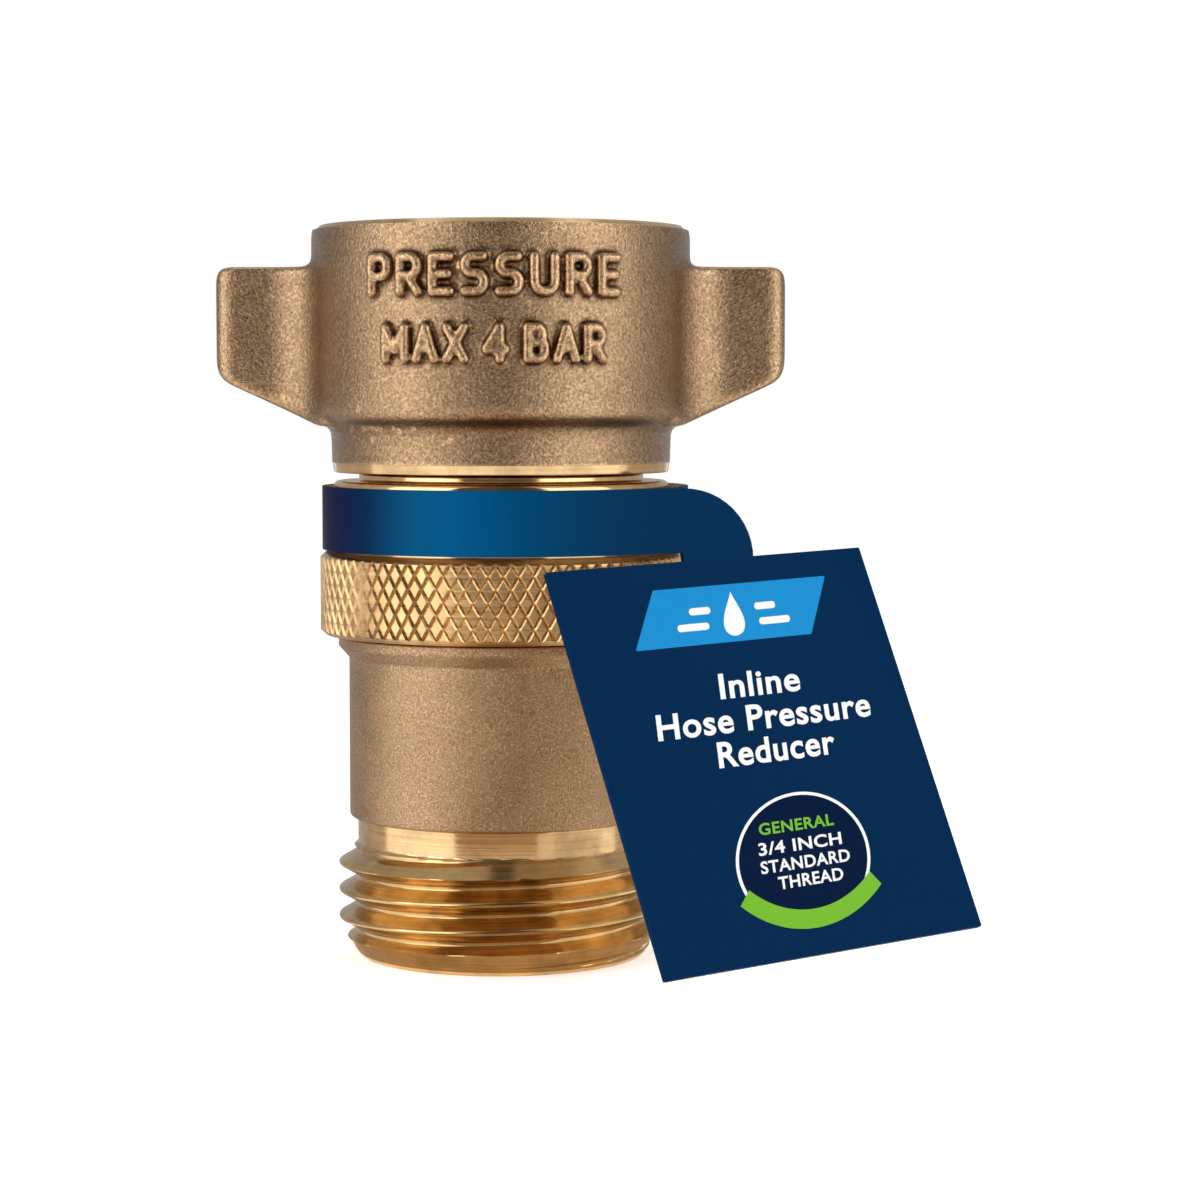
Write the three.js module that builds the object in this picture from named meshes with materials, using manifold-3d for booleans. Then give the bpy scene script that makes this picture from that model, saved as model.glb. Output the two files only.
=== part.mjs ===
// A brass in-line water pressure regulator for a caravan's hose connection, in millimetres, +Z up.
// Water enters at the top through the winged swivel nut and leaves at the bottom through the male
// hose thread. A hollow piston works against a spring: outlet pressure under its head lifts it, and
// the rim of its stem then closes on a rubber disc. Both ends carry the 3/4-11.5 NH hose thread.

import * as THREE from 'three';
import { mergeVertices } from 'three/addons/utils/BufferGeometryUtils.js';
import Module from 'manifold-3d';

const wasm = await Module();
wasm.setup();

// ---------------------------------------------------------------- driving dimensions

const SEGMENTS = 44;
const RING_SEGMENTS = 32;          // of the inner pieces
const SMALL_SEGMENTS = 24;         // of the screw and the screen
const PISTON_SEGMENTS = 36;
const GAP = 0.15;                  // between pieces that rest on each other
const RUNNING = 0.15;              // radial clearance where a piece slides or turns

// 3/4-11.5 NH hose thread
const PITCH = 25.4 / 11.5;
const MALE_CREST_R = 13.46;
const MALE_ROOT_R = 12.06;
const FEMALE_CREST_R = 12.19;
const FEMALE_ROOT_R = 13.62;
const FLANK_SLOPE = Math.tan(Math.PI / 6);
const THREAD_SINK = 0.15;          // how far a ridge is rooted in its wall
const THREAD_STEPS = 28;           // per turn

// heights, from the outlet's end face up
const THREAD_TOP_Z = 9.2;
const BAND_TOP_Z = 11.45;
const BODY_FLARE_Z = 24.6;
const BODY_TOP_Z = 26.3;
const COLLAR_Z = 26.45;
const COLLAR_TOP_Z = 33.2;
const FLANGE_Z = 37.9;
const BOSS_Z = 39.0;
const BOSS_TOP_Z = 39.55;
const NUT_Z = 39.7;
const LIP_TOP_Z = 43.2;
const TAIL_TOP_Z = 45.8;
const NUT_TOP_Z = 59.65;

// outside radii
const OUTLET_EDGE_R = 11.65;
const BAND_R = 11.87;
const BODY_R = 12.54;
const BODY_TOP_R = 13.4;
const COLLAR_R = 14.85;
const BARREL_R = 13.2;
const FLANGE_R = 13.69;
const BOSS_R = 11.65;
const TAIL_R = 10.9;
const NUT_RING_R = 13.8;
const NUT_R = 15.44;

// inside
const OUTLET_BORE_R = 8.5;
const PISTON_SHOULDER_Z = 12;
const CYLINDER_R = 10.1;
const SPIGOT_Z = 22;
const SPIGOT_R = 11.2;
const SPRING_ROOM_R = 9.3;
const GLAND_Z = 29.2;
const GLAND_TOP_Z = 32;
const GLAND_R = 6.5;
const SEAT_ROOM_Z = 35.4;
const SEAT_ROOM_R = 6.4;
const SEAT_STEP_Z = 40.6;
const INLET_R = 7.2;
const BODY_SEAL_GROOVE = { r: 10.3, z: 24.4, top: 25.8 };
const RETAINING_GROOVE = { r: 9.85, z: 43.45, top: 45.1 };
const SEAT_CLIP_GROOVE = { r: 7.9, z: 43.0, top: 44.05 };
const SCREEN_STEP = { r: 8.9, z: 45.1 };

// piston
const STROKE = 1.5;
const HEAD_R = 9.95;
const HEAD_TOP_Z = 18;
const STEM_R = 4.5;
const STEM_BORE_R = 3;
const STEM_TOP_Z = 37.4;
const HEAD_RING_GROOVE = { r: 8.3, z: 15.4, top: 17.4 };
const WEAR_RING_GROOVE = { r: 9.0, z: 13.0, top: 14.7 };
const PISTON_Z = PISTON_SHOULDER_Z + 0.3;

// seat: a three-armed holder, with a rubber disc held up to it by a screw
const SEAT_Z = STEM_TOP_Z + STROKE + 0.2;
const SEAT_TOP_Z = 41;
const HUB_R = 5.1;
const HUB_Z = 39.4;
const HUB_TOP_Z = 42.3;
const HUB_ROOM_R = 4.35;
const HUB_FLOOR_Z = 41.15;
const HOLDER_RIM_R = 6.2;
const HOLDER_TOP_Z = 42.85;
const SEAT_ARMS = 3;
const SCREW_Z = 38.1;
const SCREW_HEAD_R = 2.2;
const SCREW_SHANK_R = 1.05;
const SCREW_TOP_Z = 42.9;
const SCREW_SLOT = 0.6;

// swivel nut
const WING_REACH = 23.2;
const WING_TOP_Z = 56.35;
const WING_THICKNESS = 5;
const WING_SWEEP_R = 5;
const WASHER_R = 11.9;
const WASHER_HOLE_R = 7.9;
const WASHER_THICKNESS = 3.1;
const FEMALE_THREAD_Z = 49.4;

// rings: inner and outer radius, lower and upper face, and the slot of a split one
const RETAINING_RING = { inner: 10, outer: 11.95, z: 43.6, top: 44.95, slot: 3 };
const SEAT_CLIP = { inner: 6.3, outer: 7.75, z: 43.15, top: 43.9, slot: 3.5 };
const WEAR_RING = { inner: 9.15, outer: 10, z: 13.15, top: 14.55, slot: 0.6 };
const SCREEN_RIM = { inner: 7.3, outer: 8.75, z: 45.2, top: 45.75 };
const BACKUP_RING = { inner: 4.65, outer: 6.35, z: 29.35, top: 30.1 };
const SPRING_WASHER = { inner: 4.75, outer: 9.1, z: 28.2, top: 29.05 };

// O-rings: the radius to the section's middle, its height, and the section's radius
const PISTON_SEAL = { r: 9.2, z: 16.4, section: 0.82 };
const STEM_SEAL = { r: 5.53, z: 31.05, section: 0.82 };
const BODY_SEAL = { r: 10.9, z: 25.1, section: 0.5 };

// domed screen
const SCREEN_DOME_R = 9.4;
const SCREEN_TOP_Z = 49.1;
const SCREEN_THICKNESS = 0.3;
const SCREEN_RADII = [7.0, 6.2, 5.2, 3.9, 2.1];

// spring
const WIRE_R = 0.8;
const SPRING_R = 7.3;
const SPRING_TURNS = 2.6;          // between the two closed ends
const CLOSED_TURNS = 0.625;        // at each end
const CLOSED_PITCH = 1.7;

// hang tag, die-cut from one board: a loop round the neck, an arm, and a card folded forward
const BOARD = 0.4;
const TAG_AZIMUTH = 33.9 * Math.PI / 180;     // the card faces this far round from -Y towards +X
const TAG_LEAN = 25.9 * Math.PI / 180;        // the card's foot swings out by this
const TAG_ROLL = 2.1 * Math.PI / 180;
const LOOP_R = 14.575;
const LOOP_SHIFT = 0.625;          // towards the card
const LOOP_Z = 33.45;
const LOOP_TOP_Z = 38.6;
const FOLD_Z = 32.7;
const ARM_LEFT = 7.2;
const ARM_RIGHT = 14.2;
const CARD_WIDTH = 31.2;
const CARD_HEIGHT = 33;
const CARD_CENTRE = 10.3;          // across, from the line through the regulator's axis
const ARM_OVERLAP = 2;             // how far the arm reaches back along the loop

// ---------------------------------------------------------------- materials

function material(colour, roughness, metalness) {
  return new THREE.MeshStandardMaterial({ color: colour, roughness, metalness });
}

const castBrass = material('#a08058', 0.5, 1);
const machinedBrass = material('#e0b878', 0.22, 1);
const stainless = material('#c4c6c8', 0.3, 1);
const springSteel = material('#9a9ca0', 0.35, 1);
const nitrile = material('#1b1b1c', 0.7, 0);
const seatRubber = material('#2a2a2b', 0.65, 0);
const washerRubber = material('#23262a', 0.75, 0);
const ptfe = material('#e9e7e0', 0.55, 0);
const board = material('#002a50', 0.35, 0);

// ---------------------------------------------------------------- geometry helpers

function closed(geometry) {
  geometry.deleteAttribute('normal');
  geometry.deleteAttribute('uv');
  return mergeVertices(geometry, 1e-4);
}

function solid(geometry) {
  const merged = closed(geometry);
  const index = merged.getIndex().array;
  const triangles = [];
  for (let i = 0; i < index.length; i += 3) {
    const [a, b, c] = [index[i], index[i + 1], index[i + 2]];
    if (a !== b && b !== c && c !== a) triangles.push(a, b, c);
  }
  return new wasm.Manifold(new wasm.Mesh({
    numProp: 3,
    vertProperties: new Float32Array(merged.getAttribute('position').array),
    triVerts: new Uint32Array(triangles),
  }));
}

function piece(name, body, skin) {
  const mesh = body.getMesh();
  const geometry = new THREE.BufferGeometry();
  geometry.setAttribute('position', new THREE.BufferAttribute(mesh.vertProperties, 3));
  geometry.setIndex(new THREE.BufferAttribute(mesh.triVerts, 1));
  geometry.computeVertexNormals();
  const result = new THREE.Mesh(geometry, skin);
  result.name = name;
  return result;
}

// A solid of revolution about Z. The profile lists [radius, height] anticlockwise, with the
// radius to the right; it closes on itself, or starts and ends on the axis.
function turned(profile, segments = SEGMENTS) {
  const points = profile.map(([r, z]) => new THREE.Vector2(r, z));
  if (profile[0][0] > 0) points.push(points[0].clone());
  return solid(new THREE.LatheGeometry(points, segments).rotateX(Math.PI / 2));
}

// A ring with a round section.
function oRing({ r, z, section }) {
  const sides = 6;
  const profile = [];
  for (let i = 0; i < sides; i += 1) {
    const a = (i + 0.5) * 2 * Math.PI / sides;
    profile.push([r + section * Math.cos(a), z + section * Math.sin(a)]);
  }
  return turned(profile, RING_SEGMENTS);
}

// A ring with a rectangular section, bevelled or square.
function flatRing({ inner, outer, z, top, bevel = 0 }) {
  if (bevel === 0) {
    return turned([[inner, z], [outer, z], [outer, top], [inner, top]], RING_SEGMENTS);
  }
  return turned([
    [inner + bevel, z], [outer - bevel, z], [outer, z + bevel], [outer, top - bevel],
    [outer - bevel, top], [inner + bevel, top], [inner, top - bevel], [inner, z + bevel],
  ], RING_SEGMENTS);
}

function block(width, depth, height, x, y, z) {
  return solid(new THREE.BoxGeometry(width, depth, height).translate(x, y, z));
}

// A right-hand thread's ridge. Its crest stands at crestR and its foot is sunk in a wall at
// rootR; both ends fade into the wall over a third of a turn.
function threadRidge(rootR, crestR, z, top) {
  const outward = Math.sign(crestR - rootR);
  const footR = rootR - outward * THREAD_SINK;
  const turns = (top - z) / PITCH;
  const steps = Math.round(turns * THREAD_STEPS);
  const crestHalf = PITCH / 16;
  const positions = [];
  for (let i = 0; i <= steps; i += 1) {
    const turn = turns * i / steps;
    const fade = Math.min(1, turn * 3, (turns - turn) * 3);
    const r = footR + (crestR - footR) * Math.max(0.12, fade);
    const footHalf = crestHalf + Math.abs(crestR - footR) * FLANK_SLOPE;
    const angle = turn * 2 * Math.PI;
    const height = z + turn * PITCH;
    for (const [sr, sz] of [[footR, -footHalf], [r, -crestHalf], [r, crestHalf], [footR, footHalf]]) {
      positions.push(sr * Math.cos(angle), sr * Math.sin(angle), height + sz);
    }
  }
  const index = [];
  for (let i = 0; i < steps; i += 1) {
    for (let k = 0; k < 4; k += 1) {
      const a = i * 4 + k;
      const b = i * 4 + (k + 1) % 4;
      index.push(a, a + 4, b, b, a + 4, b + 4);
    }
  }
  const end = steps * 4;
  index.push(0, 1, 2, 0, 2, 3, end, end + 2, end + 1, end, end + 3, end + 2);
  if (outward < 0) {
    for (let i = 0; i < index.length; i += 3) {
      [index[i + 1], index[i + 2]] = [index[i + 2], index[i + 1]];
    }
  }
  const geometry = new THREE.BufferGeometry();
  geometry.setAttribute('position', new THREE.Float32BufferAttribute(positions, 3));
  geometry.setIndex(index);
  return solid(geometry);
}

// A C-shaped ring: a flat ring with a slot of the given width on its +Y side.
function splitRing(ring) {
  const height = ring.top - ring.z;
  const cut = block(ring.slot, ring.outer * 1.5, height * 3, 0, ring.outer * 0.75, ring.z + height / 2);
  return flatRing(ring).subtract(cut);
}

// ---------------------------------------------------------------- outlet side

function outletBody() {
  const core = turned([
    [OUTLET_BORE_R + 0.4, 0], [OUTLET_EDGE_R, 0], [MALE_ROOT_R, 0.55], [MALE_ROOT_R, THREAD_TOP_Z],
    [BAND_R, THREAD_TOP_Z + 0.2], [BAND_R, BAND_TOP_Z], [BODY_R - 0.5, BAND_TOP_Z],
    [BODY_R - 0.15, BAND_TOP_Z + 0.15], [BODY_R, BAND_TOP_Z + 0.5], [BODY_R, BODY_FLARE_Z],
    [BODY_TOP_R, BODY_FLARE_Z + 1.05], [BODY_TOP_R, BODY_TOP_Z], [SPIGOT_R + 0.4, BODY_TOP_Z],
    [SPIGOT_R + 0.4, SPIGOT_Z - 0.4], [CYLINDER_R, SPIGOT_Z - 1.1], [CYLINDER_R, PISTON_SHOULDER_Z],
    [OUTLET_BORE_R, PISTON_SHOULDER_Z], [OUTLET_BORE_R, 0.4],
  ]);
  const chamfer = turned([
    [0, 0], [OUTLET_EDGE_R, 0], [MALE_CREST_R + 0.4, 2.8], [MALE_CREST_R + 0.4, THREAD_TOP_Z + 1],
    [0, THREAD_TOP_Z + 1],
  ]);
  const bore = turned([[0, -1], [MALE_ROOT_R - 0.5, -1], [MALE_ROOT_R - 0.5, 12], [0, 12]]);
  const ridge = threadRidge(MALE_ROOT_R, MALE_CREST_R, 0.2, THREAD_TOP_Z - 0.1);
  return core.add(ridge.intersect(chamfer).subtract(bore));
}

// ---------------------------------------------------------------- inlet side

function inletBonnet() {
  const bevel = 0.45;
  const bodySeal = BODY_SEAL_GROOVE;
  const retaining = RETAINING_GROOVE;
  const clip = SEAT_CLIP_GROOVE;
  return turned([
    [SPRING_ROOM_R, SPIGOT_Z], [SPIGOT_R - 0.3, SPIGOT_Z], [SPIGOT_R, SPIGOT_Z + 0.3],
    [SPIGOT_R, bodySeal.z], [bodySeal.r, bodySeal.z], [bodySeal.r, bodySeal.top], [SPIGOT_R, bodySeal.top],
    [SPIGOT_R, COLLAR_Z], [COLLAR_R - bevel, COLLAR_Z], [COLLAR_R, COLLAR_Z + bevel],
    [COLLAR_R, COLLAR_TOP_Z - bevel], [COLLAR_R - bevel, COLLAR_TOP_Z], [BARREL_R, COLLAR_TOP_Z],
    [BARREL_R, FLANGE_Z], [FLANGE_R - 0.2, FLANGE_Z], [FLANGE_R, FLANGE_Z + 0.3],
    [FLANGE_R, BOSS_Z - 0.4], [FLANGE_R - 0.35, BOSS_Z], [BOSS_R, BOSS_Z], [BOSS_R, BOSS_TOP_Z],
    [TAIL_R, BOSS_TOP_Z], [TAIL_R, retaining.z], [retaining.r, retaining.z],
    [retaining.r, retaining.top], [TAIL_R, retaining.top], [TAIL_R, TAIL_TOP_Z],
    [SCREEN_STEP.r, TAIL_TOP_Z], [SCREEN_STEP.r, SCREEN_STEP.z], [INLET_R, SCREEN_STEP.z],
    [INLET_R, clip.top], [clip.r, clip.top], [clip.r, clip.z], [INLET_R, clip.z],
    [INLET_R, SEAT_STEP_Z], [SEAT_ROOM_R, SEAT_STEP_Z], [SEAT_ROOM_R, SEAT_ROOM_Z],
    [STEM_R + RUNNING, SEAT_ROOM_Z], [STEM_R + RUNNING, GLAND_TOP_Z], [GLAND_R, GLAND_TOP_Z],
    [GLAND_R, GLAND_Z], [SPRING_ROOM_R, GLAND_Z],
  ]);
}

// One wing pair: its plan, with a concave sweep into the barrel, crossed with its elevation.
function wings() {
  const half = WING_THICKNESS / 2;
  const blendX = Math.sqrt((NUT_R + WING_SWEEP_R) ** 2 - (half + WING_SWEEP_R) ** 2);
  const sweepStart = Math.PI / 2 + Math.atan2(blendX, half + WING_SWEEP_R);
  const quarter = new THREE.Shape();
  quarter.moveTo(-WING_REACH + 1, -half);
  quarter.lineTo(-blendX, -half);
  quarter.absarc(-blendX, -half - WING_SWEEP_R, WING_SWEEP_R, Math.PI / 2, Math.PI - sweepStart, true);
  quarter.lineTo(0, -NUT_R * 0.7);
  const side = quarter.getPoints(5);
  const plan = new THREE.Shape([
    ...side,
    ...side.map((p) => new THREE.Vector2(-p.x, p.y)).reverse(),
    new THREE.Vector2(WING_REACH, -half + 1),
    new THREE.Vector2(WING_REACH, half - 1),
    ...side.map((p) => new THREE.Vector2(-p.x, -p.y)),
    ...side.map((p) => new THREE.Vector2(p.x, -p.y)).reverse(),
    new THREE.Vector2(-WING_REACH, half - 1),
    new THREE.Vector2(-WING_REACH, -half + 1),
  ]);
  const height = NUT_TOP_Z - NUT_Z;
  const planSolid = solid(new THREE.ExtrudeGeometry(plan, { depth: height, bevelEnabled: false })
    .translate(0, 0, NUT_Z));

  const right = new THREE.Shape();
  right.moveTo(0, WING_TOP_Z);
  right.lineTo(WING_REACH - 1, WING_TOP_Z);
  right.absarc(WING_REACH - 1, WING_TOP_Z - 1, 1, Math.PI / 2, 0, true);
  right.lineTo(WING_REACH, 49.2);
  right.quadraticCurveTo(WING_REACH, 48.35, WING_REACH - 0.9, 47.85);
  right.lineTo(14.9, 43.75);
  right.lineTo(0, 43.75);
  const outline = right.getPoints(3);
  const elevation = new THREE.Shape([
    ...outline,
    ...outline.slice(1, -1).map((p) => new THREE.Vector2(-p.x, p.y)).reverse(),
  ]);
  const depth = NUT_R * 2;
  const elevationSolid = solid(new THREE.ExtrudeGeometry(elevation, { depth, bevelEnabled: false })
    .rotateX(Math.PI / 2)
    .translate(0, NUT_R, 0));
  return planSolid.intersect(elevationSolid);
}

function swivelNut() {
  const outside = turned([
    [0, NUT_Z], [NUT_RING_R - 0.35, NUT_Z], [NUT_RING_R, NUT_Z + 0.8], [NUT_RING_R + 0.1, 42.6],
    [NUT_RING_R - 0.05, 43.3], [NUT_R - 1.1, 43.75], [NUT_R - 0.3, 44.1], [NUT_R, 44.7],
    [NUT_R, NUT_TOP_Z - 0.9], [NUT_R - 0.3, NUT_TOP_Z - 0.3], [NUT_R - 0.9, NUT_TOP_Z],
    [0, NUT_TOP_Z],
  ]);
  const socket = turned([
    [0, NUT_Z - 1], [TAIL_R + 0.2, NUT_Z - 1], [TAIL_R + 0.2, LIP_TOP_Z], [FEMALE_CREST_R + 0.1, LIP_TOP_Z],
    [FEMALE_CREST_R + 0.1, 48.2], [FEMALE_ROOT_R, 49.6], [FEMALE_ROOT_R, NUT_TOP_Z - 0.4],
    [FEMALE_ROOT_R + 0.4, NUT_TOP_Z], [FEMALE_ROOT_R + 0.4, NUT_TOP_Z + 1], [0, NUT_TOP_Z + 1],
  ]);
  const room = turned([
    [0, LIP_TOP_Z], [FEMALE_ROOT_R + 0.3, LIP_TOP_Z], [FEMALE_ROOT_R + 0.3, NUT_TOP_Z - 0.2],
    [0, NUT_TOP_Z - 0.2],
  ]);
  const ridge = threadRidge(FEMALE_ROOT_R, FEMALE_CREST_R, FEMALE_THREAD_Z, NUT_TOP_Z - 1.1).intersect(room);
  return outside.add(wings()).subtract(socket).add(ridge);
}

// ---------------------------------------------------------------- seat

function seatHolder() {
  const holeR = SCREW_SHANK_R + GAP;
  const hub = turned([
    [holeR, HUB_FLOOR_Z], [HUB_ROOM_R, HUB_FLOOR_Z], [HUB_ROOM_R, HUB_Z], [HUB_R, HUB_Z],
    [HUB_R, HUB_TOP_Z], [holeR, HUB_TOP_Z],
  ], RING_SEGMENTS);
  const rim = flatRing({
    inner: HOLDER_RIM_R, outer: INLET_R - GAP, z: SEAT_STEP_Z + GAP, top: HOLDER_TOP_Z,
  });
  let holder = hub.add(rim);
  for (let i = 0; i < SEAT_ARMS; i += 1) {
    const arm = new THREE.BoxGeometry(2.2, 1.6, 1.3)
      .translate((HUB_R + HOLDER_RIM_R) / 2, 0, HUB_TOP_Z - 0.7)
      .rotateZ(i * 2 * Math.PI / SEAT_ARMS);
    holder = holder.add(solid(arm));
  }
  return holder;
}

function seatScrew() {
  const headTop = SEAT_Z - 0.1;
  const blank = turned([
    [0, SCREW_Z], [SCREW_HEAD_R - 0.3, SCREW_Z], [SCREW_HEAD_R, SCREW_Z + 0.3], [SCREW_HEAD_R, headTop],
    [SCREW_SHANK_R, headTop], [SCREW_SHANK_R, SCREW_TOP_Z], [0, SCREW_TOP_Z],
  ], SMALL_SEGMENTS);
  return blank.subtract(block(SCREW_HEAD_R * 2.3, SCREW_SLOT, 0.9, 0, 0, SCREW_Z));
}

// ---------------------------------------------------------------- piston and spring

function piston() {
  const wear = WEAR_RING_GROOVE;
  const seal = HEAD_RING_GROOVE;
  return turned([
    [5.2, PISTON_Z], [HEAD_R - 0.3, PISTON_Z], [HEAD_R, PISTON_Z + 0.3], [HEAD_R, wear.z],
    [wear.r, wear.z], [wear.r, wear.top], [HEAD_R, wear.top], [HEAD_R, seal.z],
    [seal.r, seal.z], [seal.r, seal.top], [HEAD_R, seal.top], [HEAD_R, HEAD_TOP_Z - 0.3], [HEAD_R - 0.3, HEAD_TOP_Z],
    [STEM_R + 0.5, HEAD_TOP_Z], [STEM_R, HEAD_TOP_Z + 0.5], [STEM_R, STEM_TOP_Z - 0.8],
    [3.6, STEM_TOP_Z], [3.4, STEM_TOP_Z], [STEM_BORE_R, STEM_TOP_Z - 0.4],
    [STEM_BORE_R, PISTON_Z + 2.6],
  ], PISTON_SEGMENTS);
}

class SpringPath extends THREE.Curve {
  constructor(z, top) {
    super();
    this.z = z;
    this.top = top;
    this.turns = SPRING_TURNS + 2 * CLOSED_TURNS;
    this.openPitch = (top - z - 2 * CLOSED_TURNS * CLOSED_PITCH) / SPRING_TURNS;
  }

  getPoint(t) {
    const turn = t * this.turns;
    const lower = Math.min(turn, CLOSED_TURNS) * CLOSED_PITCH;
    const middle = Math.min(Math.max(turn - CLOSED_TURNS, 0), SPRING_TURNS) * this.openPitch;
    const upper = Math.max(turn - CLOSED_TURNS - SPRING_TURNS, 0) * CLOSED_PITCH;
    const angle = turn * 2 * Math.PI;
    return new THREE.Vector3(
      SPRING_R * Math.cos(angle), SPRING_R * Math.sin(angle), this.z + lower + middle + upper);
  }
}

function regulatingSpring() {
  const section = new THREE.Shape().absarc(0, 0, WIRE_R, 0, 2 * Math.PI);
  const path = new SpringPath(HEAD_TOP_Z + GAP + WIRE_R, SPRING_WASHER.z - GAP - WIRE_R);
  const wire = new THREE.ExtrudeGeometry(section, {
    steps: 72, extrudePath: path, bevelEnabled: false, curveSegments: 4,
  });
  return solid(wire);
}

// ---------------------------------------------------------------- hang tag

// Board cut to a shape that is drawn across and up, then stood on its face in front of the axis.
function boardPanel(shape, lean, roll) {
  const panel = new THREE.ExtrudeGeometry(shape, { depth: BOARD, bevelEnabled: false, curveSegments: 6 });
  panel.rotateX(Math.PI / 2);
  if (roll !== 0) {
    panel.translate(-CARD_CENTRE, 0, CARD_HEIGHT / 2);
    panel.rotateY(-roll);
    panel.translate(CARD_CENTRE, 0, -CARD_HEIGHT / 2);
  }
  panel.rotateX(-lean);
  return panel.translate(0, -LOOP_R - LOOP_SHIFT, FOLD_Z).rotateZ(TAG_AZIMUTH);
}

function hangTag() {
  const loop = flatRing({ inner: LOOP_R, outer: LOOP_R + BOARD, z: LOOP_Z, top: LOOP_TOP_Z })
    .translate([LOOP_SHIFT * Math.sin(TAG_AZIMUTH), -LOOP_SHIFT * Math.cos(TAG_AZIMUTH), 0]);

  const low = LOOP_Z - FOLD_Z;
  const high = LOOP_TOP_Z - FOLD_Z;
  const corner = ARM_RIGHT - ARM_LEFT;
  const armShape = new THREE.Shape();
  armShape.moveTo(-ARM_OVERLAP, low);
  armShape.lineTo(ARM_LEFT, low);
  armShape.lineTo(ARM_LEFT, -BOARD);
  armShape.lineTo(ARM_RIGHT, -BOARD);
  armShape.absellipse(ARM_LEFT, 0, corner, high, 0, Math.PI / 2, false, 0);
  armShape.lineTo(-ARM_OVERLAP, high);
  const arm = solid(boardPanel(armShape, 0, 0));

  const left = CARD_CENTRE - CARD_WIDTH / 2;
  const cardShape = new THREE.Shape([
    new THREE.Vector2(left, 0), new THREE.Vector2(left, -CARD_HEIGHT),
    new THREE.Vector2(left + CARD_WIDTH, -CARD_HEIGHT), new THREE.Vector2(left + CARD_WIDTH, 0),
  ]);
  const card = solid(boardPanel(cardShape, TAG_LEAN, TAG_ROLL));
  return loop.add(arm).add(card);
}

// ---------------------------------------------------------------- screen

function screenMesh() {
  const dome = (r, domeR) => [r, SCREEN_TOP_Z - SCREEN_DOME_R + Math.sqrt(domeR * domeR - r * r)];
  return turned([
    ...[...SCREEN_RADII, 0].reverse().map((r) => dome(r, SCREEN_DOME_R - SCREEN_THICKNESS)),
    ...[...SCREEN_RADII, 0].map((r) => dome(r, SCREEN_DOME_R)),
  ], SMALL_SEGMENTS);
}

// ---------------------------------------------------------------- assembly

const washer = { inner: WASHER_HOLE_R, outer: WASHER_R, z: TAIL_TOP_Z + 0.2, bevel: 0.3 };
washer.top = washer.z + WASHER_THICKNESS;
const seat = { inner: 1.3, outer: HUB_ROOM_R - GAP, z: SEAT_Z, top: SEAT_TOP_Z };

const regulator = new THREE.Group();
regulator.add(
  piece('outlet_body', outletBody(), castBrass),
  piece('inlet_bonnet', inletBonnet(), machinedBrass),
  piece('body_o_ring', oRing(BODY_SEAL), nitrile),
  piece('swivel_nut', swivelNut(), castBrass),
  piece('retaining_ring', splitRing(RETAINING_RING), stainless),
  piece('hose_washer', flatRing(washer), washerRubber),
  piece('screen_rim', flatRing(SCREEN_RIM), stainless),
  piece('screen_mesh', screenMesh(), stainless),
  piece('seat_holder', seatHolder(), machinedBrass),
  piece('seat_disc', flatRing(seat), seatRubber),
  piece('seat_screw', seatScrew(), stainless),
  piece('seat_circlip', splitRing(SEAT_CLIP), stainless),
  piece('piston', piston(), machinedBrass),
  piece('piston_o_ring', oRing(PISTON_SEAL), nitrile),
  piece('piston_wear_ring', splitRing(WEAR_RING), ptfe),
  piece('stem_o_ring', oRing(STEM_SEAL), nitrile),
  piece('stem_backup_ring', flatRing(BACKUP_RING), ptfe),
  piece('spring_washer', flatRing(SPRING_WASHER), stainless),
  piece('regulating_spring', regulatingSpring(), springSteel),
  piece('hang_tag', hangTag(), board),
);

// The origin is the middle of the object's box, on the surface that the outlet end stands on.
const box = new THREE.Box3().setFromObject(regulator);
const centre = box.getCenter(new THREE.Vector3());
regulator.position.set(-centre.x, -centre.y, 0);

const group = new THREE.Group();
group.add(regulator);

export default group;
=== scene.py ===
"""A brass in-line water pressure regulator with its card hang tag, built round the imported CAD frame.

The file is laid out as an add-on: sizes and colours are properties, each piece or group of like
pieces has its own operator, and a sidebar panel lists them. Run as a script, it makes everything.
Local sizes are in millimetres about the regulator's own axis, and meshes are stored in metres.
"""

import math

import bmesh
import bpy
import numpy as np
from bpy.props import FloatProperty, FloatVectorProperty, IntProperty, PointerProperty, StringProperty
from mathutils import Matrix, Vector


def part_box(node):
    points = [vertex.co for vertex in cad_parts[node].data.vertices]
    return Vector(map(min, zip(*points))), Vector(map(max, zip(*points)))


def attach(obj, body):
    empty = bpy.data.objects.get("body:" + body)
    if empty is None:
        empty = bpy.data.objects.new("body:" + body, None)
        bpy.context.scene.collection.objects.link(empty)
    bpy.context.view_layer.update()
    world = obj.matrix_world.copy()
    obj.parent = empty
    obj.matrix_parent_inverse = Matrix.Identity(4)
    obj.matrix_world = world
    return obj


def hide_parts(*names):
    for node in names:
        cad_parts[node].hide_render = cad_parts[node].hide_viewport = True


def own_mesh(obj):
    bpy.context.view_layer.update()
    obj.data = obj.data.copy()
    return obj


bl_info = {
    "name": "Water pressure regulator",
    "version": (1, 0, 0),
    "blender": (4, 5, 0),
    "location": "View3D > Sidebar > Regulator",
    "description": "Builds a brass hose-line pressure regulator with a swivel nut and a hang tag",
    "category": "Add Mesh",
}

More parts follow.
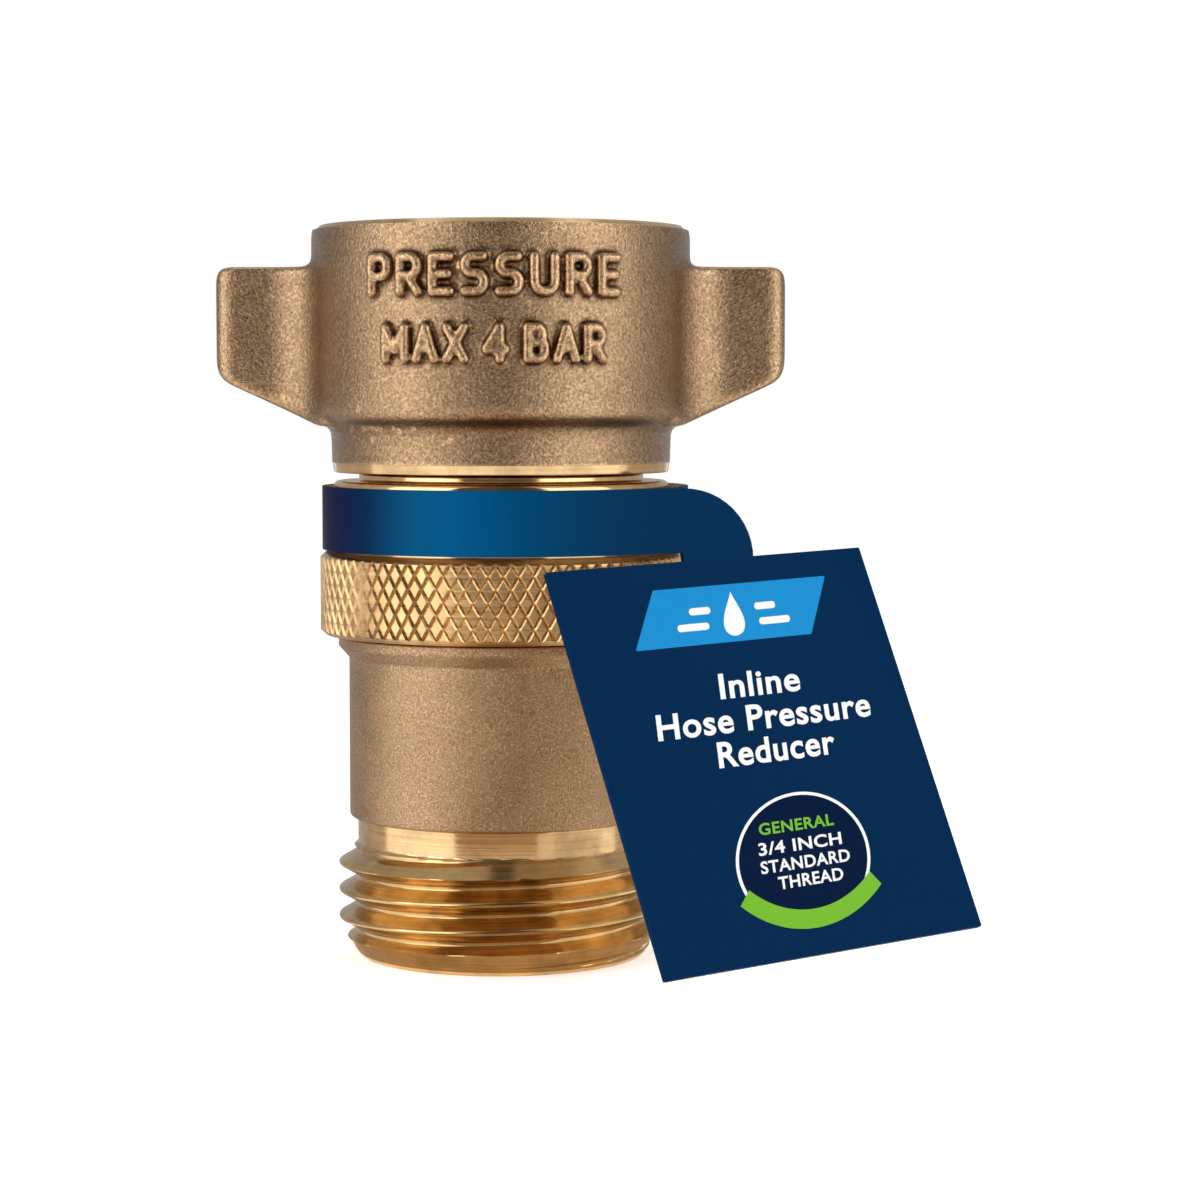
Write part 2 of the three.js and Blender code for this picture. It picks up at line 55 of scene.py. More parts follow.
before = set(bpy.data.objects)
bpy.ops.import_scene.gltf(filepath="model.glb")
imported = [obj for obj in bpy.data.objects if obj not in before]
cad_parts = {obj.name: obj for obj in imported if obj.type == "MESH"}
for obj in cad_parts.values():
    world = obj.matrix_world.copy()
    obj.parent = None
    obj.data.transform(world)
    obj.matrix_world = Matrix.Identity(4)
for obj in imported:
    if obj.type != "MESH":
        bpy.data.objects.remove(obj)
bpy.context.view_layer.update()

MM = 0.001
NUT_LOW, NUT_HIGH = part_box("swivel_nut")
AXIS = Vector(((NUT_LOW.x + NUT_HIGH.x) / 2, (NUT_LOW.y + NUT_HIGH.y) / 2, 0))


def node_z(name):
    """A CAD node's lowest and highest z, in millimetres."""
    low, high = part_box(name)
    return low.z / MM, high.z / MM


# ---------------------------------------------------------------- sizes and colours

# 3/4-11.5 NH hose thread
PITCH = 25.4 / 11.5
MALE_CREST_R, MALE_ROOT_R = 13.46, 12.06
FEMALE_CREST_R, FEMALE_ROOT_R = 12.19, 13.62
FLANK = math.tan(math.radians(30))

COLUMNS = 240
FINE_COLUMNS = 144

# the card's ink, drawn thicker than it is so that its layers stay apart
FILM = 0.012

NUT_BARREL_R = 15.44

# the tag: which way its panel faces, how far the card leans forward and how far it is rolled
TAG_AZIMUTH, TAG_LEAN, TAG_ROLL = (math.radians(a) for a in (33.9, 25.9, 2.1))
# the loop's inner radius and how far it hangs off the axis, the fold's height, the card's middle
LOOP_R, LOOP_SHIFT, FOLD_Z, CARD_X = 14.575, 0.625, 32.7, 10.3
CARD_WIDTH, CARD_HEIGHT = 31.2, 33.0

NUT_Z, NUT_TOP_Z = node_z("swivel_nut")
BODY_TOP_Z = node_z("outlet_body")[1]
BONNET_Z, TAIL_TOP_Z = node_z("inlet_bonnet")


class CastingSizes(bpy.types.PropertyGroup):
    """Sizes of the cast surfaces, in millimetres."""

    cast_voxel: FloatProperty(
        name="Casting detail", description="Mesh size of the nut's cast skin", default=0.16,
        min=0.1, max=1)
    wing_softness: IntProperty(
        name="Wing softness", description="Smoothing passes that round the wings", default=20, min=0, max=60)
    letter_relief: FloatProperty(
        name="Letter relief", description="How far the cast letters stand out", default=0.8, min=0.1, max=1)
    grain: FloatProperty(
        name="Grain size", description="Size of the cast skin's grain", default=0.15, min=0.05, max=2)


class CollarSizes(bpy.types.PropertyGroup):
    """The knurled collar's sizes, in millimetres."""

    diamonds: IntProperty(
        name="Diamonds", description="Knurl diamonds round the collar", default=78, min=12, max=200)
    groove_depth: FloatProperty(
        name="Groove depth", description="Depth of the knurl's grooves", default=0.15, min=0.05, max=0.6)
    bevel: FloatProperty(
        name="End bevel", description="Plain bevel at each end of the collar", default=0.45, min=0.1, max=1)


class TagWords(bpy.types.PropertyGroup):
    """Words printed on the card and cast on the nut."""

    cast_top: StringProperty(name="Cast word", description="Upper cast row", default="PRESSURE")
    cast_bottom: StringProperty(name="Cast rating", description="Lower cast row", default="MAX 4 BAR")
    first: StringProperty(name="First line", description="Card, first line", default="Inline")
    second: StringProperty(name="Second line", description="Card, second line", default="Hose Pressure")
    third: StringProperty(name="Third line", description="Card, third line", default="Reducer")
    badge_first: StringProperty(name="Badge, first", description="Badge, first line", default="GENERAL")
    badge_second: StringProperty(name="Badge, second", description="Badge, second line", default="3/4 INCH")
    badge_third: StringProperty(name="Badge, third", description="Badge, third line", default="STANDARD")
    badge_fourth: StringProperty(name="Badge, fourth", description="Badge, last line", default="THREAD")


def colour_property(label, description, value):
    return FloatVectorProperty(
        name=label, description=description, subtype="COLOR", size=3, default=value, min=0, max=1)


def linear(hex_colour):
    """An sRGB hex colour as linear red, green and blue."""
    channels = [int(hex_colour[i:i + 2], 16) / 255 for i in (1, 3, 5)]
    return tuple(c / 12.92 if c <= 0.04045 else ((c + 0.055) / 1.055) ** 2.4 for c in channels)


class FinishColours(bpy.types.PropertyGroup):
    """Base colours of the main finishes."""

    cast: colour_property("Cast brass", "Tumbled cast skin", linear("#B39575"))
    turned: colour_property("Turned brass", "Freshly machined surfaces", linear("#EAC592"))
    steel: colour_property("Stainless steel", "Rings, clips and screen", linear("#C6C7C6"))
    navy: colour_property("Card navy", "The tag's printed ground", linear("#00294E"))


# ---------------------------------------------------------------- mesh helpers

def to_object(name, bm):
    """A bmesh in millimetres about the regulator's axis becomes an object in the scene."""
    bmesh.ops.remove_doubles(bm, verts=bm.verts, dist=2e-4)
    bmesh.ops.dissolve_degenerate(bm, edges=bm.edges, dist=2e-4)
    bmesh.ops.recalc_face_normals(bm, faces=bm.faces)
    bmesh.ops.scale(bm, vec=(MM, MM, MM), verts=bm.verts)
    mesh = bpy.data.meshes.new(name)
    bm.to_mesh(mesh)
    bm.free()
    made = bpy.data.objects.new(name, mesh)
    bpy.context.scene.collection.objects.link(made)
    made.location = AXIS
    return made


def from_grid(points, wrap_columns, wrap_rows):
    """Quads over a grid of points, given as columns of rows."""
    points = np.asarray(points, float)
    columns, rows = points.shape[:2]
    bm = bmesh.new()
    verts = [[bm.verts.new(p) for p in column] for column in points]
    for i in range(columns if wrap_columns else columns - 1):
        for j in range(rows if wrap_rows else rows - 1):
            i2, j2 = (i + 1) % columns, (j + 1) % rows
            bm.faces.new((verts[i][j], verts[i2][j], verts[i2][j2], verts[i][j2]))
    return bm


def rounded(corners, closed=True):
    """An outline through (x, y, radius) corners, with an arc of that radius at each corner."""
    outline = []
    count = len(corners)
    for k, (x, y, radius) in enumerate(corners):
        here = np.array((x, y), float)
        ends = not closed and k in (0, count - 1)
        if radius == 0 or ends:
            outline.append(here)
            continue
        before = np.array(corners[k - 1][:2], float) - here
        after = np.array(corners[(k + 1) % count][:2], float) - here
        before_length, after_length = np.linalg.norm(before), np.linalg.norm(after)
        before, after = before / before_length, after / after_length
        half = math.acos(float(np.clip(before @ after, -1, 1))) / 2
        if half > math.radians(88):
            outline.append(here)
            continue
        reach = min(radius / math.tan(half), 0.49 * before_length, 0.49 * after_length)
        true_radius = reach * math.tan(half)
        middle = here + (before + after) / np.linalg.norm(before + after) * true_radius / math.sin(half)
        start, end = here + before * reach - middle, here + after * reach - middle
        turn = math.atan2(start[0] * end[1] - start[1] * end[0], start @ end)
        steps = max(2, round(abs(turn) / math.radians(15)))
        for s in range(steps + 1):
            a = turn * s / steps
            c, d = math.cos(a), math.sin(a)
            outline.append(middle + np.array((c * start[0] - d * start[1], d * start[0] + c * start[1])))
    return np.array(outline)


def capped(bm, rows):
    """Closes the first and the last column of a grid with this many rows."""
    bm.verts.ensure_lookup_table()
    last = len(bm.verts) - rows
    for start in (0, last):
        bm.faces.new([bm.verts[start + k] for k in range(rows)])
    return bm


def revolved(corners, columns=FINE_COLUMNS):
    """A solid of revolution from (radius, height, corner radius) corners, listed anticlockwise."""
    on_axis = corners[0][0] == 0 and corners[-1][0] == 0
    outline = rounded(corners, closed=not on_axis)
    angles = np.arange(columns) * 2 * math.pi / columns
    points = [[(r * math.cos(a), r * math.sin(a), z) for r, z in outline] for a in angles]
    return from_grid(points, True, not on_axis)


def extruded(outline, low, high, upright=False):
    """A plate between two parallel planes. upright draws the outline in X and Z, across Y."""
    bm = bmesh.new()
    layers = []
    for level in (low, high):
        layers.append([bm.verts.new((x, level, y) if upright else (x, y, level)) for x, y in outline])
    count = len(outline)
    bm.faces.new(layers[0])
    bm.faces.new(layers[1])
    for k in range(count):
        n = (k + 1) % count
        bm.faces.new((layers[0][k], layers[0][n], layers[1][n], layers[1][k]))
    return bm


def merged(target, *others):
    """Adds other bmeshes to target."""
    for other in others:
        spare = bpy.data.meshes.new("spare")
        other.to_mesh(spare)
        other.free()
        target.from_mesh(spare)
        bpy.data.meshes.remove(spare)
    return target


def settled(obj):
    """Applies an object's modifiers to its mesh."""
    graph = bpy.context.evaluated_depsgraph_get()
    graph.update()
    mesh = bpy.data.meshes.new_from_object(obj.evaluated_get(graph))
    spent = obj.data
    obj.modifiers.clear()
    obj.data = mesh
    bpy.data.meshes.remove(spent)
    return obj


def machined(obj, tool, operation):
    """Joins tool to obj, or cuts it away, or keeps what both share, and removes tool."""
    cut = obj.modifiers.new("cut", "BOOLEAN")
    cut.operation = operation
    cut.solver = "MANIFOLD"
    cut.object = tool
    settled(obj)
    bpy.data.objects.remove(tool)
    if not obj.data.polygons:
        raise RuntimeError(f"{obj.name}: {operation} left nothing")
    return obj


def remeshed(obj, voxel, passes):
    """Rebuilds a closed skin at an even mesh size in millimetres and softens its corners."""
    skin = obj.modifiers.new("skin", "REMESH")
    skin.mode = "VOXEL"
    skin.voxel_size = voxel * MM
    soften = obj.modifiers.new("soften", "SMOOTH")
    soften.factor = 0.5
    soften.iterations = passes
    return settled(obj)


def finish_piece(obj, body, replaces=(), materials=(), rule=None, sharp=32):
    """Shades and paints a piece, hangs it on its body's empty and hides the CAD parts it replaces. rule maps
    face centres to material numbers.
    """
    mesh = obj.data
    mesh.materials.clear()
    for m in materials:
        mesh.materials.append(m)
    if rule is not None:
        centres = np.zeros(len(mesh.polygons) * 3)
        mesh.polygons.foreach_get("center", centres)
        normals = np.zeros(len(mesh.polygons) * 3)
        mesh.polygons.foreach_get("normal", normals)
        numbers = rule(centres.reshape(-1, 3) / MM, normals.reshape(-1, 3))
        mesh.polygons.foreach_set("material_index", np.asarray(numbers, np.int32))
    else:
        mesh.polygons.foreach_set("material_index", np.zeros(len(mesh.polygons), np.int32))
    mesh.shade_smooth()
    mesh.set_sharp_from_angle(angle=math.radians(sharp))
    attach(obj, body)
    if replaces:
        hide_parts(*replaces)
    return obj


def thread_radius(crest, root, crest_round, root_round):
    """A function from the distance along the axis to the nearest crest, to the thread's radius."""
    depth = abs(crest - root)
    flat = PITCH / 8
    foot = flat / 2 + depth * FLANK
    outline = rounded([
        (-PITCH, root, 0), (-foot, root, root_round), (-flat / 2, crest, crest_round),
        (flat / 2, crest, crest_round), (foot, root, root_round), (PITCH, root, 0)], closed=False)
    return lambda distance: np.interp(distance, outline[:, 0], outline[:, 1])


def threaded_band(z0, z1, radius, hub, columns=COLUMNS, rows_per_pitch=32):
    """A closed ring or plug whose round side carries a thread from z0 to z1.

    Rows of the mesh follow the helix, so crests and flanks are clean. radius(angle, z) gives the
    side; hub is the inner radius, or 0 for a solid plug.
    """
    rows = math.ceil((z1 - z0) / PITCH * rows_per_pitch) + rows_per_pitch
    bm = bmesh.new()
    verts = []
    for i in range(columns):
        angle = 2 * math.pi * i / columns
        heights = z0 + ((np.arange(rows + 1) - rows_per_pitch) / rows_per_pitch + i / columns) * PITCH
        heights = np.clip(heights, z0, z1)
        radii = radius(angle, heights)
        c, s = math.cos(angle), math.sin(angle)
        column = [bm.verts.new((r * c, r * s, z)) for r, z in zip(radii, heights)]
        low = bm.verts.new((hub * c, hub * s, z0))
        high = bm.verts.new((hub * c, hub * s, z1))
        verts.append((column, low, high))
    for i in range(columns):
        column, low, high = verts[i]
        beside, low2, high2 = verts[(i + 1) % columns]
        shift = rows_per_pitch if i == columns - 1 else 0
        for j in range(rows):
            a, b = beside[min(j + shift, rows)], beside[min(j + 1 + shift, rows)]
            if a is b:
                bm.faces.new((column[j], a, column[j + 1]))
            else:
                bm.faces.new((column[j], a, b, column[j + 1]))
        bm.faces.new((column[0], low, low2, beside[shift]))
        bm.faces.new((column[rows], beside[rows], high2, high))
        if hub:
            bm.faces.new((low, high, high2, low2))
    return bm


def knurled_band(z0, z1, outer, hub, count, depth):
    """A closed ring with a diamond knurl: two crossing families of V grooves, 30 degrees off the axis."""
    groove = 0.17  # half a groove's width, as a share of a diamond's
    steps = np.array([0, groove, 0.26, 0.5, 0.74, 1 - groove])
    n = len(steps)
    pitch = 2 * math.pi * outer / count
    rise = pitch / math.tan(math.radians(30))

    def place(k):
        """Where mesh line k runs across the grooves, in diamonds."""
        return k // n + steps[k % n]

    def cut(k):
        """How deep a groove is at mesh line k, from 0 to 1."""
        fraction = steps[k % n]
        near = min(fraction, 1 - fraction)
        return max(0.0, 1 - near / groove)

    half = math.ceil((z1 - z0) / 2 / rise * 2 * n) + n + 2
    bm = bmesh.new()
    verts = {}

    def vertex(a, b):
        turns = count * n
        key = (a % turns, (b + turns * ((a % turns - a) // turns)))
        if key not in verts:
            a0, b0 = key
            u, v = (place(a0) + place(b0)) / 2, (place(a0) - place(b0)) / 2
            z = min(max((z0 + z1) / 2 + v * rise, z0), z1)
            r = outer - depth * max(cut(a0), cut(b0))
            angle = 2 * math.pi * u / count
            verts[key] = bm.verts.new((r * math.cos(angle), r * math.sin(angle), z))
        return verts[key]

    for a in range(count * n):
        for b in range(a - half, a + half):
            corners = [vertex(a, b), vertex(a + 1, b), vertex(a + 1, b + 1), vertex(a, b + 1)]
            heights = [c.co.z for c in corners]
            if max(heights) - min(heights) < 1e-6:
                continue
            depths = [max(cut(i), cut(j)) for i, j in ((a, b), (a + 1, b), (a + 1, b + 1), (a, b + 1))]
            if len(set(depths)) == 1:
                bm.faces.new(corners)
                continue
            first = depths.index(min(depths))
            corners = corners[first:] + corners[:first]
            bm.faces.new(corners[:3])
            bm.faces.new((corners[0], corners[2], corners[3]))
    bmesh.ops.remove_doubles(bm, verts=bm.verts, dist=1e-4)
    rim = [e for e in bm.edges if e.is_boundary]
    made = bmesh.ops.extrude_edge_only(bm, edges=rim)
    inner = [g for g in made["geom"] if isinstance(g, bmesh.types.BMVert)]
    for v in inner:
        scale = hub / math.hypot(v.co.x, v.co.y)
        v.co.x *= scale
        v.co.y *= scale
    rim = [e for e in bm.edges if e.is_boundary]
    bmesh.ops.bridge_loops(bm, edges=rim)
    return bm


def swept(path, section):
    """A tube: section points (side, up) carried along a path, square to it, with flat ends."""
    path = np.asarray(path, float)
    tangents = np.gradient(path, axis=0)
    tangents /= np.linalg.norm(tangents, axis=1)[:, None]
    side = np.cross(tangents[0], (0, 0, 1.0))
    if np.linalg.norm(side) < 1e-6:
        side = np.array((1.0, 0, 0))
    columns = []
    for point, tangent in zip(path, tangents):
        side = side - tangent * (side @ tangent)
        side /= np.linalg.norm(side)
        up = np.cross(side, tangent)
        columns.append([point + side * x + up * y for x, y in section])
    return capped(from_grid(columns, False, True), len(section))


def circle(radius, sides=12):
    return [(radius * math.cos(2 * math.pi * k / sides), radius * math.sin(2 * math.pi * k / sides))
            for k in range(sides)]


def o_ring(name, r, z, section_r):
    """A moulded O-ring."""
    corners = [(r + section_r * math.cos(a), z + section_r * math.sin(a), 0)
               for a in np.arange(24) * math.pi / 12]
    return to_object(name, revolved(corners))


def flat_ring(name, inner, outer, z, top, soft):
    """A ring of rectangular section with rounded edges."""
    return to_object(name, revolved([
        (inner, z, soft), (outer, z, soft), (outer, top, soft), (inner, top, soft)]))


def split_ring(name, inner, outer, z, top, soft, slot):
    """A C-shaped ring, open by slot on its +Y side, with rounded section and ends."""
    section = rounded([(inner, z, soft), (outer, z, soft), (outer, top, soft), (inner, top, soft)])
    half = math.asin(slot / 2 / outer)
    angles = math.pi / 2 + half + np.linspace(0, 2 * math.pi - 2 * half, FINE_COLUMNS)
    points = [[(r * math.cos(a), r * math.sin(a), h) for r, h in section] for a in angles]
    return to_object(name, capped(from_grid(points, False, True), len(section)))


def drawn_words(words, width, height, weight):
    """Words as closed solid letters, centred, stretched to a width and a capital height in millimetres.

    weight thickens every stroke. The letters run from z = 0 to z = 1.
    """
    curve = bpy.data.curves.new("words", "FONT")
    curve.body = words
    curve.size = 4
    curve.align_x = "CENTER"
    curve.space_character = 1.0 + weight * 0.75
    curve.extrude = weight
    curve.bevel_depth = weight
    curve.bevel_resolution = 3
    curve.resolution_u = 5
    holder = bpy.data.objects.new("words", curve)
    bpy.context.scene.collection.objects.link(holder)
    graph = bpy.context.evaluated_depsgraph_get()
    graph.update()
    mesh = bpy.data.meshes.new_from_object(holder.evaluated_get(graph))
    bpy.data.objects.remove(holder)
    bpy.data.curves.remove(curve)
    bm = bmesh.new()
    bm.from_mesh(mesh)
    bpy.data.meshes.remove(mesh)
    bmesh.ops.remove_doubles(bm, verts=bm.verts, dist=1e-4)
    xs = [v.co.x for v in bm.verts]
    ys = [v.co.y for v in bm.verts]
    zs = [v.co.z for v in bm.verts]
    across, middle = max(xs) - min(xs), (max(xs) + min(xs)) / 2
    foot = -weight
    capital = max(ys) - foot
    deep = max(zs) - min(zs)
    for v in bm.verts:
        v.co.x = (v.co.x - middle) * width / across
        v.co.y = (v.co.y - foot) * height / capital
        v.co.z = (v.co.z - min(zs)) / deep
    return bm


# Letters for castings, one capital high, as the lines a pattern maker's rounded letter follows:
# each line is a list of corners (x, y, corner radius), and a missing radius is a sharp corner.
STROKES = {
    "A": [[(0, 0), (0.34, 1), (0.68, 0)], [(0.12, 0.34), (0.56, 0.34)]],
    "B": [[(0, 0), (0, 1), (0.52, 1, 0.22), (0.52, 0.53, 0.22), (0, 0.53)],
          [(0.3, 0.53), (0.6, 0.53, 0.24), (0.6, 0, 0.24), (0, 0)]],
    "C": [[(0.6, 0.8), (0.6, 1, 0.2), (0, 1, 0.3), (0, 0, 0.3), (0.6, 0, 0.2), (0.6, 0.2)]],
    "D": [[(0, 0), (0, 1), (0.62, 1, 0.35), (0.62, 0, 0.35), (0, 0)]],
    "E": [[(0.54, 1), (0, 1), (0, 0), (0.54, 0)], [(0, 0.5), (0.48, 0.5)]],
    "H": [[(0, 0), (0, 1)], [(0.6, 0), (0.6, 1)], [(0, 0.5), (0.6, 0.5)]],
    "I": [[(0, 0), (0, 1)]],
    "L": [[(0, 1), (0, 0), (0.5, 0)]],
    "M": [[(0, 0), (0, 1), (0.4, 0.3), (0.8, 1), (0.8, 0)]],
    "N": [[(0, 0), (0, 1), (0.62, 0), (0.62, 1)]],
    "O": [[(0.33, 1), (0, 1, 0.3), (0, 0, 0.3), (0.66, 0, 0.3), (0.66, 1, 0.3), (0.33, 1)]],
    "P": [[(0, 0), (0, 1), (0.58, 1, 0.24), (0.58, 0.45, 0.24), (0, 0.45)]],
    "R": [[(0, 0), (0, 1), (0.58, 1, 0.24), (0.58, 0.47, 0.24), (0, 0.47)], [(0.28, 0.47), (0.6, 0)]],
    "S": [[(0.54, 1), (0, 1, 0.25), (0, 0.52, 0.25), (0.58, 0.52, 0.25), (0.58, 0, 0.25), (0, 0)]],
    "T": [[(0, 1), (0.64, 1)], [(0.32, 0), (0.32, 1)]],
    "U": [[(0, 1), (0, 0, 0.29), (0.62, 0, 0.29), (0.62, 1)]],
    "V": [[(0, 1), (0.33, 0), (0.66, 1)]],
    "X": [[(0, 0), (0.62, 1)], [(0, 1), (0.62, 0)]],
    "0": [[(0.3, 1), (0, 1, 0.28), (0, 0, 0.28), (0.6, 0, 0.28), (0.6, 1, 0.28), (0.3, 1)]],
    "1": [[(0, 0.8), (0.2, 1), (0.2, 0)]],
    "4": [[(0.46, 0), (0.46, 1), (0, 0.3), (0.64, 0.3)]],
    "5": [[(0.52, 1), (0.04, 1), (0, 0.56), (0.58, 0.6, 0.24), (0.58, 0, 0.24), (0, 0, 0.15)]],
    "-": [[(0, 0.45), (0.36, 0.45)]],
}
# gaps after a letter and for a space, in capitals, and the rods' radius in millimetres
LETTER_GAP, WORD_GAP = 0.46, 0.34
LETTER_R = 0.42


def stroke_words(words, width, height, thick):
    """Words as rods with round ends, centred on x, standing on y = 0 and lying along z = 0.

    Width and height are measured over the rods, thick is their diameter, all in millimetres.
    """
    lines = []
    x = 0.0
    for letter in words:
        if letter == " ":
            x += WORD_GAP
            continue
        if letter not in STROKES:
            raise RuntimeError(f"no cast letter for {letter!r}")
        for line in STROKES[letter]:
            corners = [(c[0] + x, c[1], c[2] if len(c) > 2 else 0) for c in line]
            lines.append(rounded(corners, closed=False))
        x += max(c[0] for line in STROKES[letter] for c in line) + LETTER_GAP
    across = x - LETTER_GAP
    ball = bmesh.new()
    bmesh.ops.create_uvsphere(ball, u_segments=12, v_segments=9, radius=thick / 2)
    rod = [v.co.copy() for v in ball.verts]
    rod_faces = [[v.index for v in f.verts] for f in ball.faces]
    ball.free()
    places, faces = [], []
    for line in lines:
        points = [Vector(((px / across - 0.5) * (width - thick), thick / 2 + py * (height - thick), 0))
                  for px, py in line]
        for start, end in zip(points, points[1:]):
            along = end - start
            if along.length < 1e-6:
                continue
            turn = along.to_track_quat("Z", "Y")
            first = len(places)
            places += [turn @ (co + Vector((0, 0, along.length if co.z > 0 else 0))) + start
                       for co in rod]
            faces += [[first + i for i in face] for face in rod_faces]
    mesh = bpy.data.meshes.new("words")
    mesh.from_pydata(places, [], faces)
    bm = bmesh.new()
    bm.from_mesh(mesh)
    bpy.data.meshes.remove(mesh)
    return bm


# ---------------------------------------------------------------- material helpers

def node(tree, kind, inputs=None, **settings):
    """Adds a node with its settings. inputs maps a socket to a value or to another node's socket."""
    made = tree.nodes.new(kind)
    for name, value in settings.items():
        setattr(made, name, value)
    for socket, value in (inputs or {}).items():
        if isinstance(value, bpy.types.NodeSocket):
            tree.links.new(value, made.inputs[socket])
        else:
            made.inputs[socket].default_value = value
    return made


def new_material(name, **base):
    """A material with one Principled shader; base sets the shader's own sockets."""
    made = bpy.data.materials.new(name)
    made.use_nodes = True
    tree = made.node_tree
    tree.nodes.clear()
    shader = node(tree, "ShaderNodeBsdfPrincipled", base)
    output = node(tree, "ShaderNodeOutputMaterial")
    tree.links.new(shader.outputs["BSDF"], output.inputs["Surface"])
    return made, tree, shader


def rgba(colour, share=1.0):
    return (*(min(1, c * share) for c in colour), 1)


def dressed(made, tree, shader, colour, rough, relief=None):
    """Links a colour, a roughness and a bump to a material's shader."""
    tree.links.new(colour, shader.inputs["Base Color"])
    tree.links.new(rough.outputs["Result"], shader.inputs["Roughness"])
    if relief:
        tree.links.new(relief.outputs["Normal"], shader.inputs["Normal"])
    return made


def ramp(tree, factor, *stops):
    """A colour ramp from (position, colour) stops."""
    made = node(tree, "ShaderNodeValToRGB", {"Fac": factor})
    elements = made.color_ramp.elements
    for k, (position, colour) in enumerate(stops):
        element = elements[k] if k < 2 else elements.new(position)
        element.position = position
        element.color = colour
    return made.outputs["Color"]


def cast_brass(name, colour, grain, deep, roughness, rub_and_shade):
    """Sand-cast brass, shot-blasted and tumbled: a matt golden brown skin that glitters with fine
    pits and peaks, a quarter of a millimetre across or less, with slow drifts of tone. Where
    rub_and_shade is 1, its colour is lighter on edges and darker in corners and hollows, by how
    pointed the mesh is: partly the wear of tumbling, partly painted highlight and painted shade."""
    made, tree, shader = new_material(name, Metallic=1.0)
    place = node(tree, "ShaderNodeTexCoord").outputs["Object"]
    fine = node(tree, "ShaderNodeTexNoise", {
        "Vector": place, "Scale": 1 / (grain * MM), "Detail": 4.0, "Roughness": 0.68, "Distortion": 0.2})
    drift = node(tree, "ShaderNodeTexNoise", {"Vector": place, "Scale": 1 / (4 * MM), "Detail": 3.0})
    speckle = ramp(tree, fine.outputs["Fac"], (0.32, rgba(colour, 0.5)), (0.55, rgba(colour, 1.1)),
                   (0.7, rgba(colour, 1.65)))
    tone = ramp(tree, drift.outputs["Fac"], (0.3, (0.88, 0.84, 0.80, 1)), (0.7, (1.05, 1.03, 1.0, 1)))
    skin = node(tree, "ShaderNodeMix", {0: 1.0, 6: speckle, 7: tone}, data_type="RGBA",
                blend_type="MULTIPLY")
    # wear ramp from Pointiness: darker in corners and hollows, lighter on edges; partly tumbling wear, partly
    # painted shade and painted highlight
    point = node(tree, "ShaderNodeNewGeometry").outputs["Pointiness"]
    wear = ramp(tree, point, (0.465, (0.42, 0.38, 0.34, 1)), (0.499, (0.93, 0.93, 0.93, 1)),
                (0.53, (1.5, 1.5, 1.46, 1)))
    worn_and_shaded = node(tree, "ShaderNodeMix", {0: rub_and_shade, 6: skin.outputs[2], 7: wear}, data_type="RGBA",
                blend_type="MULTIPLY")
    rough = node(tree, "ShaderNodeMapRange", {
        "Value": fine.outputs["Fac"], "From Min": 0.3, "From Max": 0.7,
        "To Min": roughness + 0.1, "To Max": roughness - 0.1})
    relief = node(tree, "ShaderNodeBump", {
        "Height": fine.outputs["Fac"], "Strength": 1.0, "Distance": deep * MM})
    return dressed(made, tree, shader, worn_and_shaded.outputs[2], rough, relief)


def turned_brass(name, colour, roughness, line, stain):
    """Brass turned on a lathe: bright and golden, with hair-fine lines round the axis that stretch
    every reflection, and faint tea-coloured water marks."""
    made, tree, shader = new_material(name, Metallic=1.0)
    place = node(tree, "ShaderNodeTexCoord").outputs["Object"]
    parts = node(tree, "ShaderNodeSeparateXYZ", {"Vector": place})
    flat = node(tree, "ShaderNodeCombineXYZ", {"X": parts.outputs["X"], "Y": parts.outputs["Y"]})
    radius = node(tree, "ShaderNodeVectorMath", {0: flat.outputs["Vector"]}, operation="LENGTH")
    slow = node(tree, "ShaderNodeVectorMath", {0: flat.outputs["Vector"], "Scale": 0.01}, operation="SCALE")
    across = node(tree, "ShaderNodeCombineXYZ", {
        "X": radius.outputs["Value"], "Y": 0.0, "Z": parts.outputs["Z"]})
    lines_at = node(tree, "ShaderNodeVectorMath", {
        0: across.outputs["Vector"], 1: slow.outputs["Vector"]}, operation="ADD")
    lines = node(tree, "ShaderNodeTexNoise", {
        "Vector": lines_at.outputs["Vector"], "Scale": 1 / (line * MM), "Detail": 2.0})
    marks = node(tree, "ShaderNodeTexNoise", {
        "Vector": place, "Scale": 1 / (3.2 * MM), "Detail": 4.0, "Roughness": 0.6})
    marked = ramp(tree, marks.outputs["Fac"],
                  (0.36, rgba(colour, 1 - stain)), (0.58, rgba(colour, 1.0)))
    shade = ramp(tree, lines.outputs["Fac"], (0.3, (0.86, 0.83, 0.79, 1)), (0.62, (1.04, 1.04, 1.04, 1)))
    tinted = node(tree, "ShaderNodeMix", {0: 1.0, 6: marked, 7: shade}, data_type="RGBA",
                  blend_type="MULTIPLY")
    rough = node(tree, "ShaderNodeMapRange", {
        "Value": lines.outputs["Fac"], "From Min": 0.3, "From Max": 0.7,
        "To Min": roughness * 0.7, "To Max": roughness * 1.35})
    relief = node(tree, "ShaderNodeBump", {
        "Height": lines.outputs["Fac"], "Strength": 0.5, "Distance": 0.008 * MM})
    return dressed(made, tree, shader, tinted.outputs[2], rough, relief)


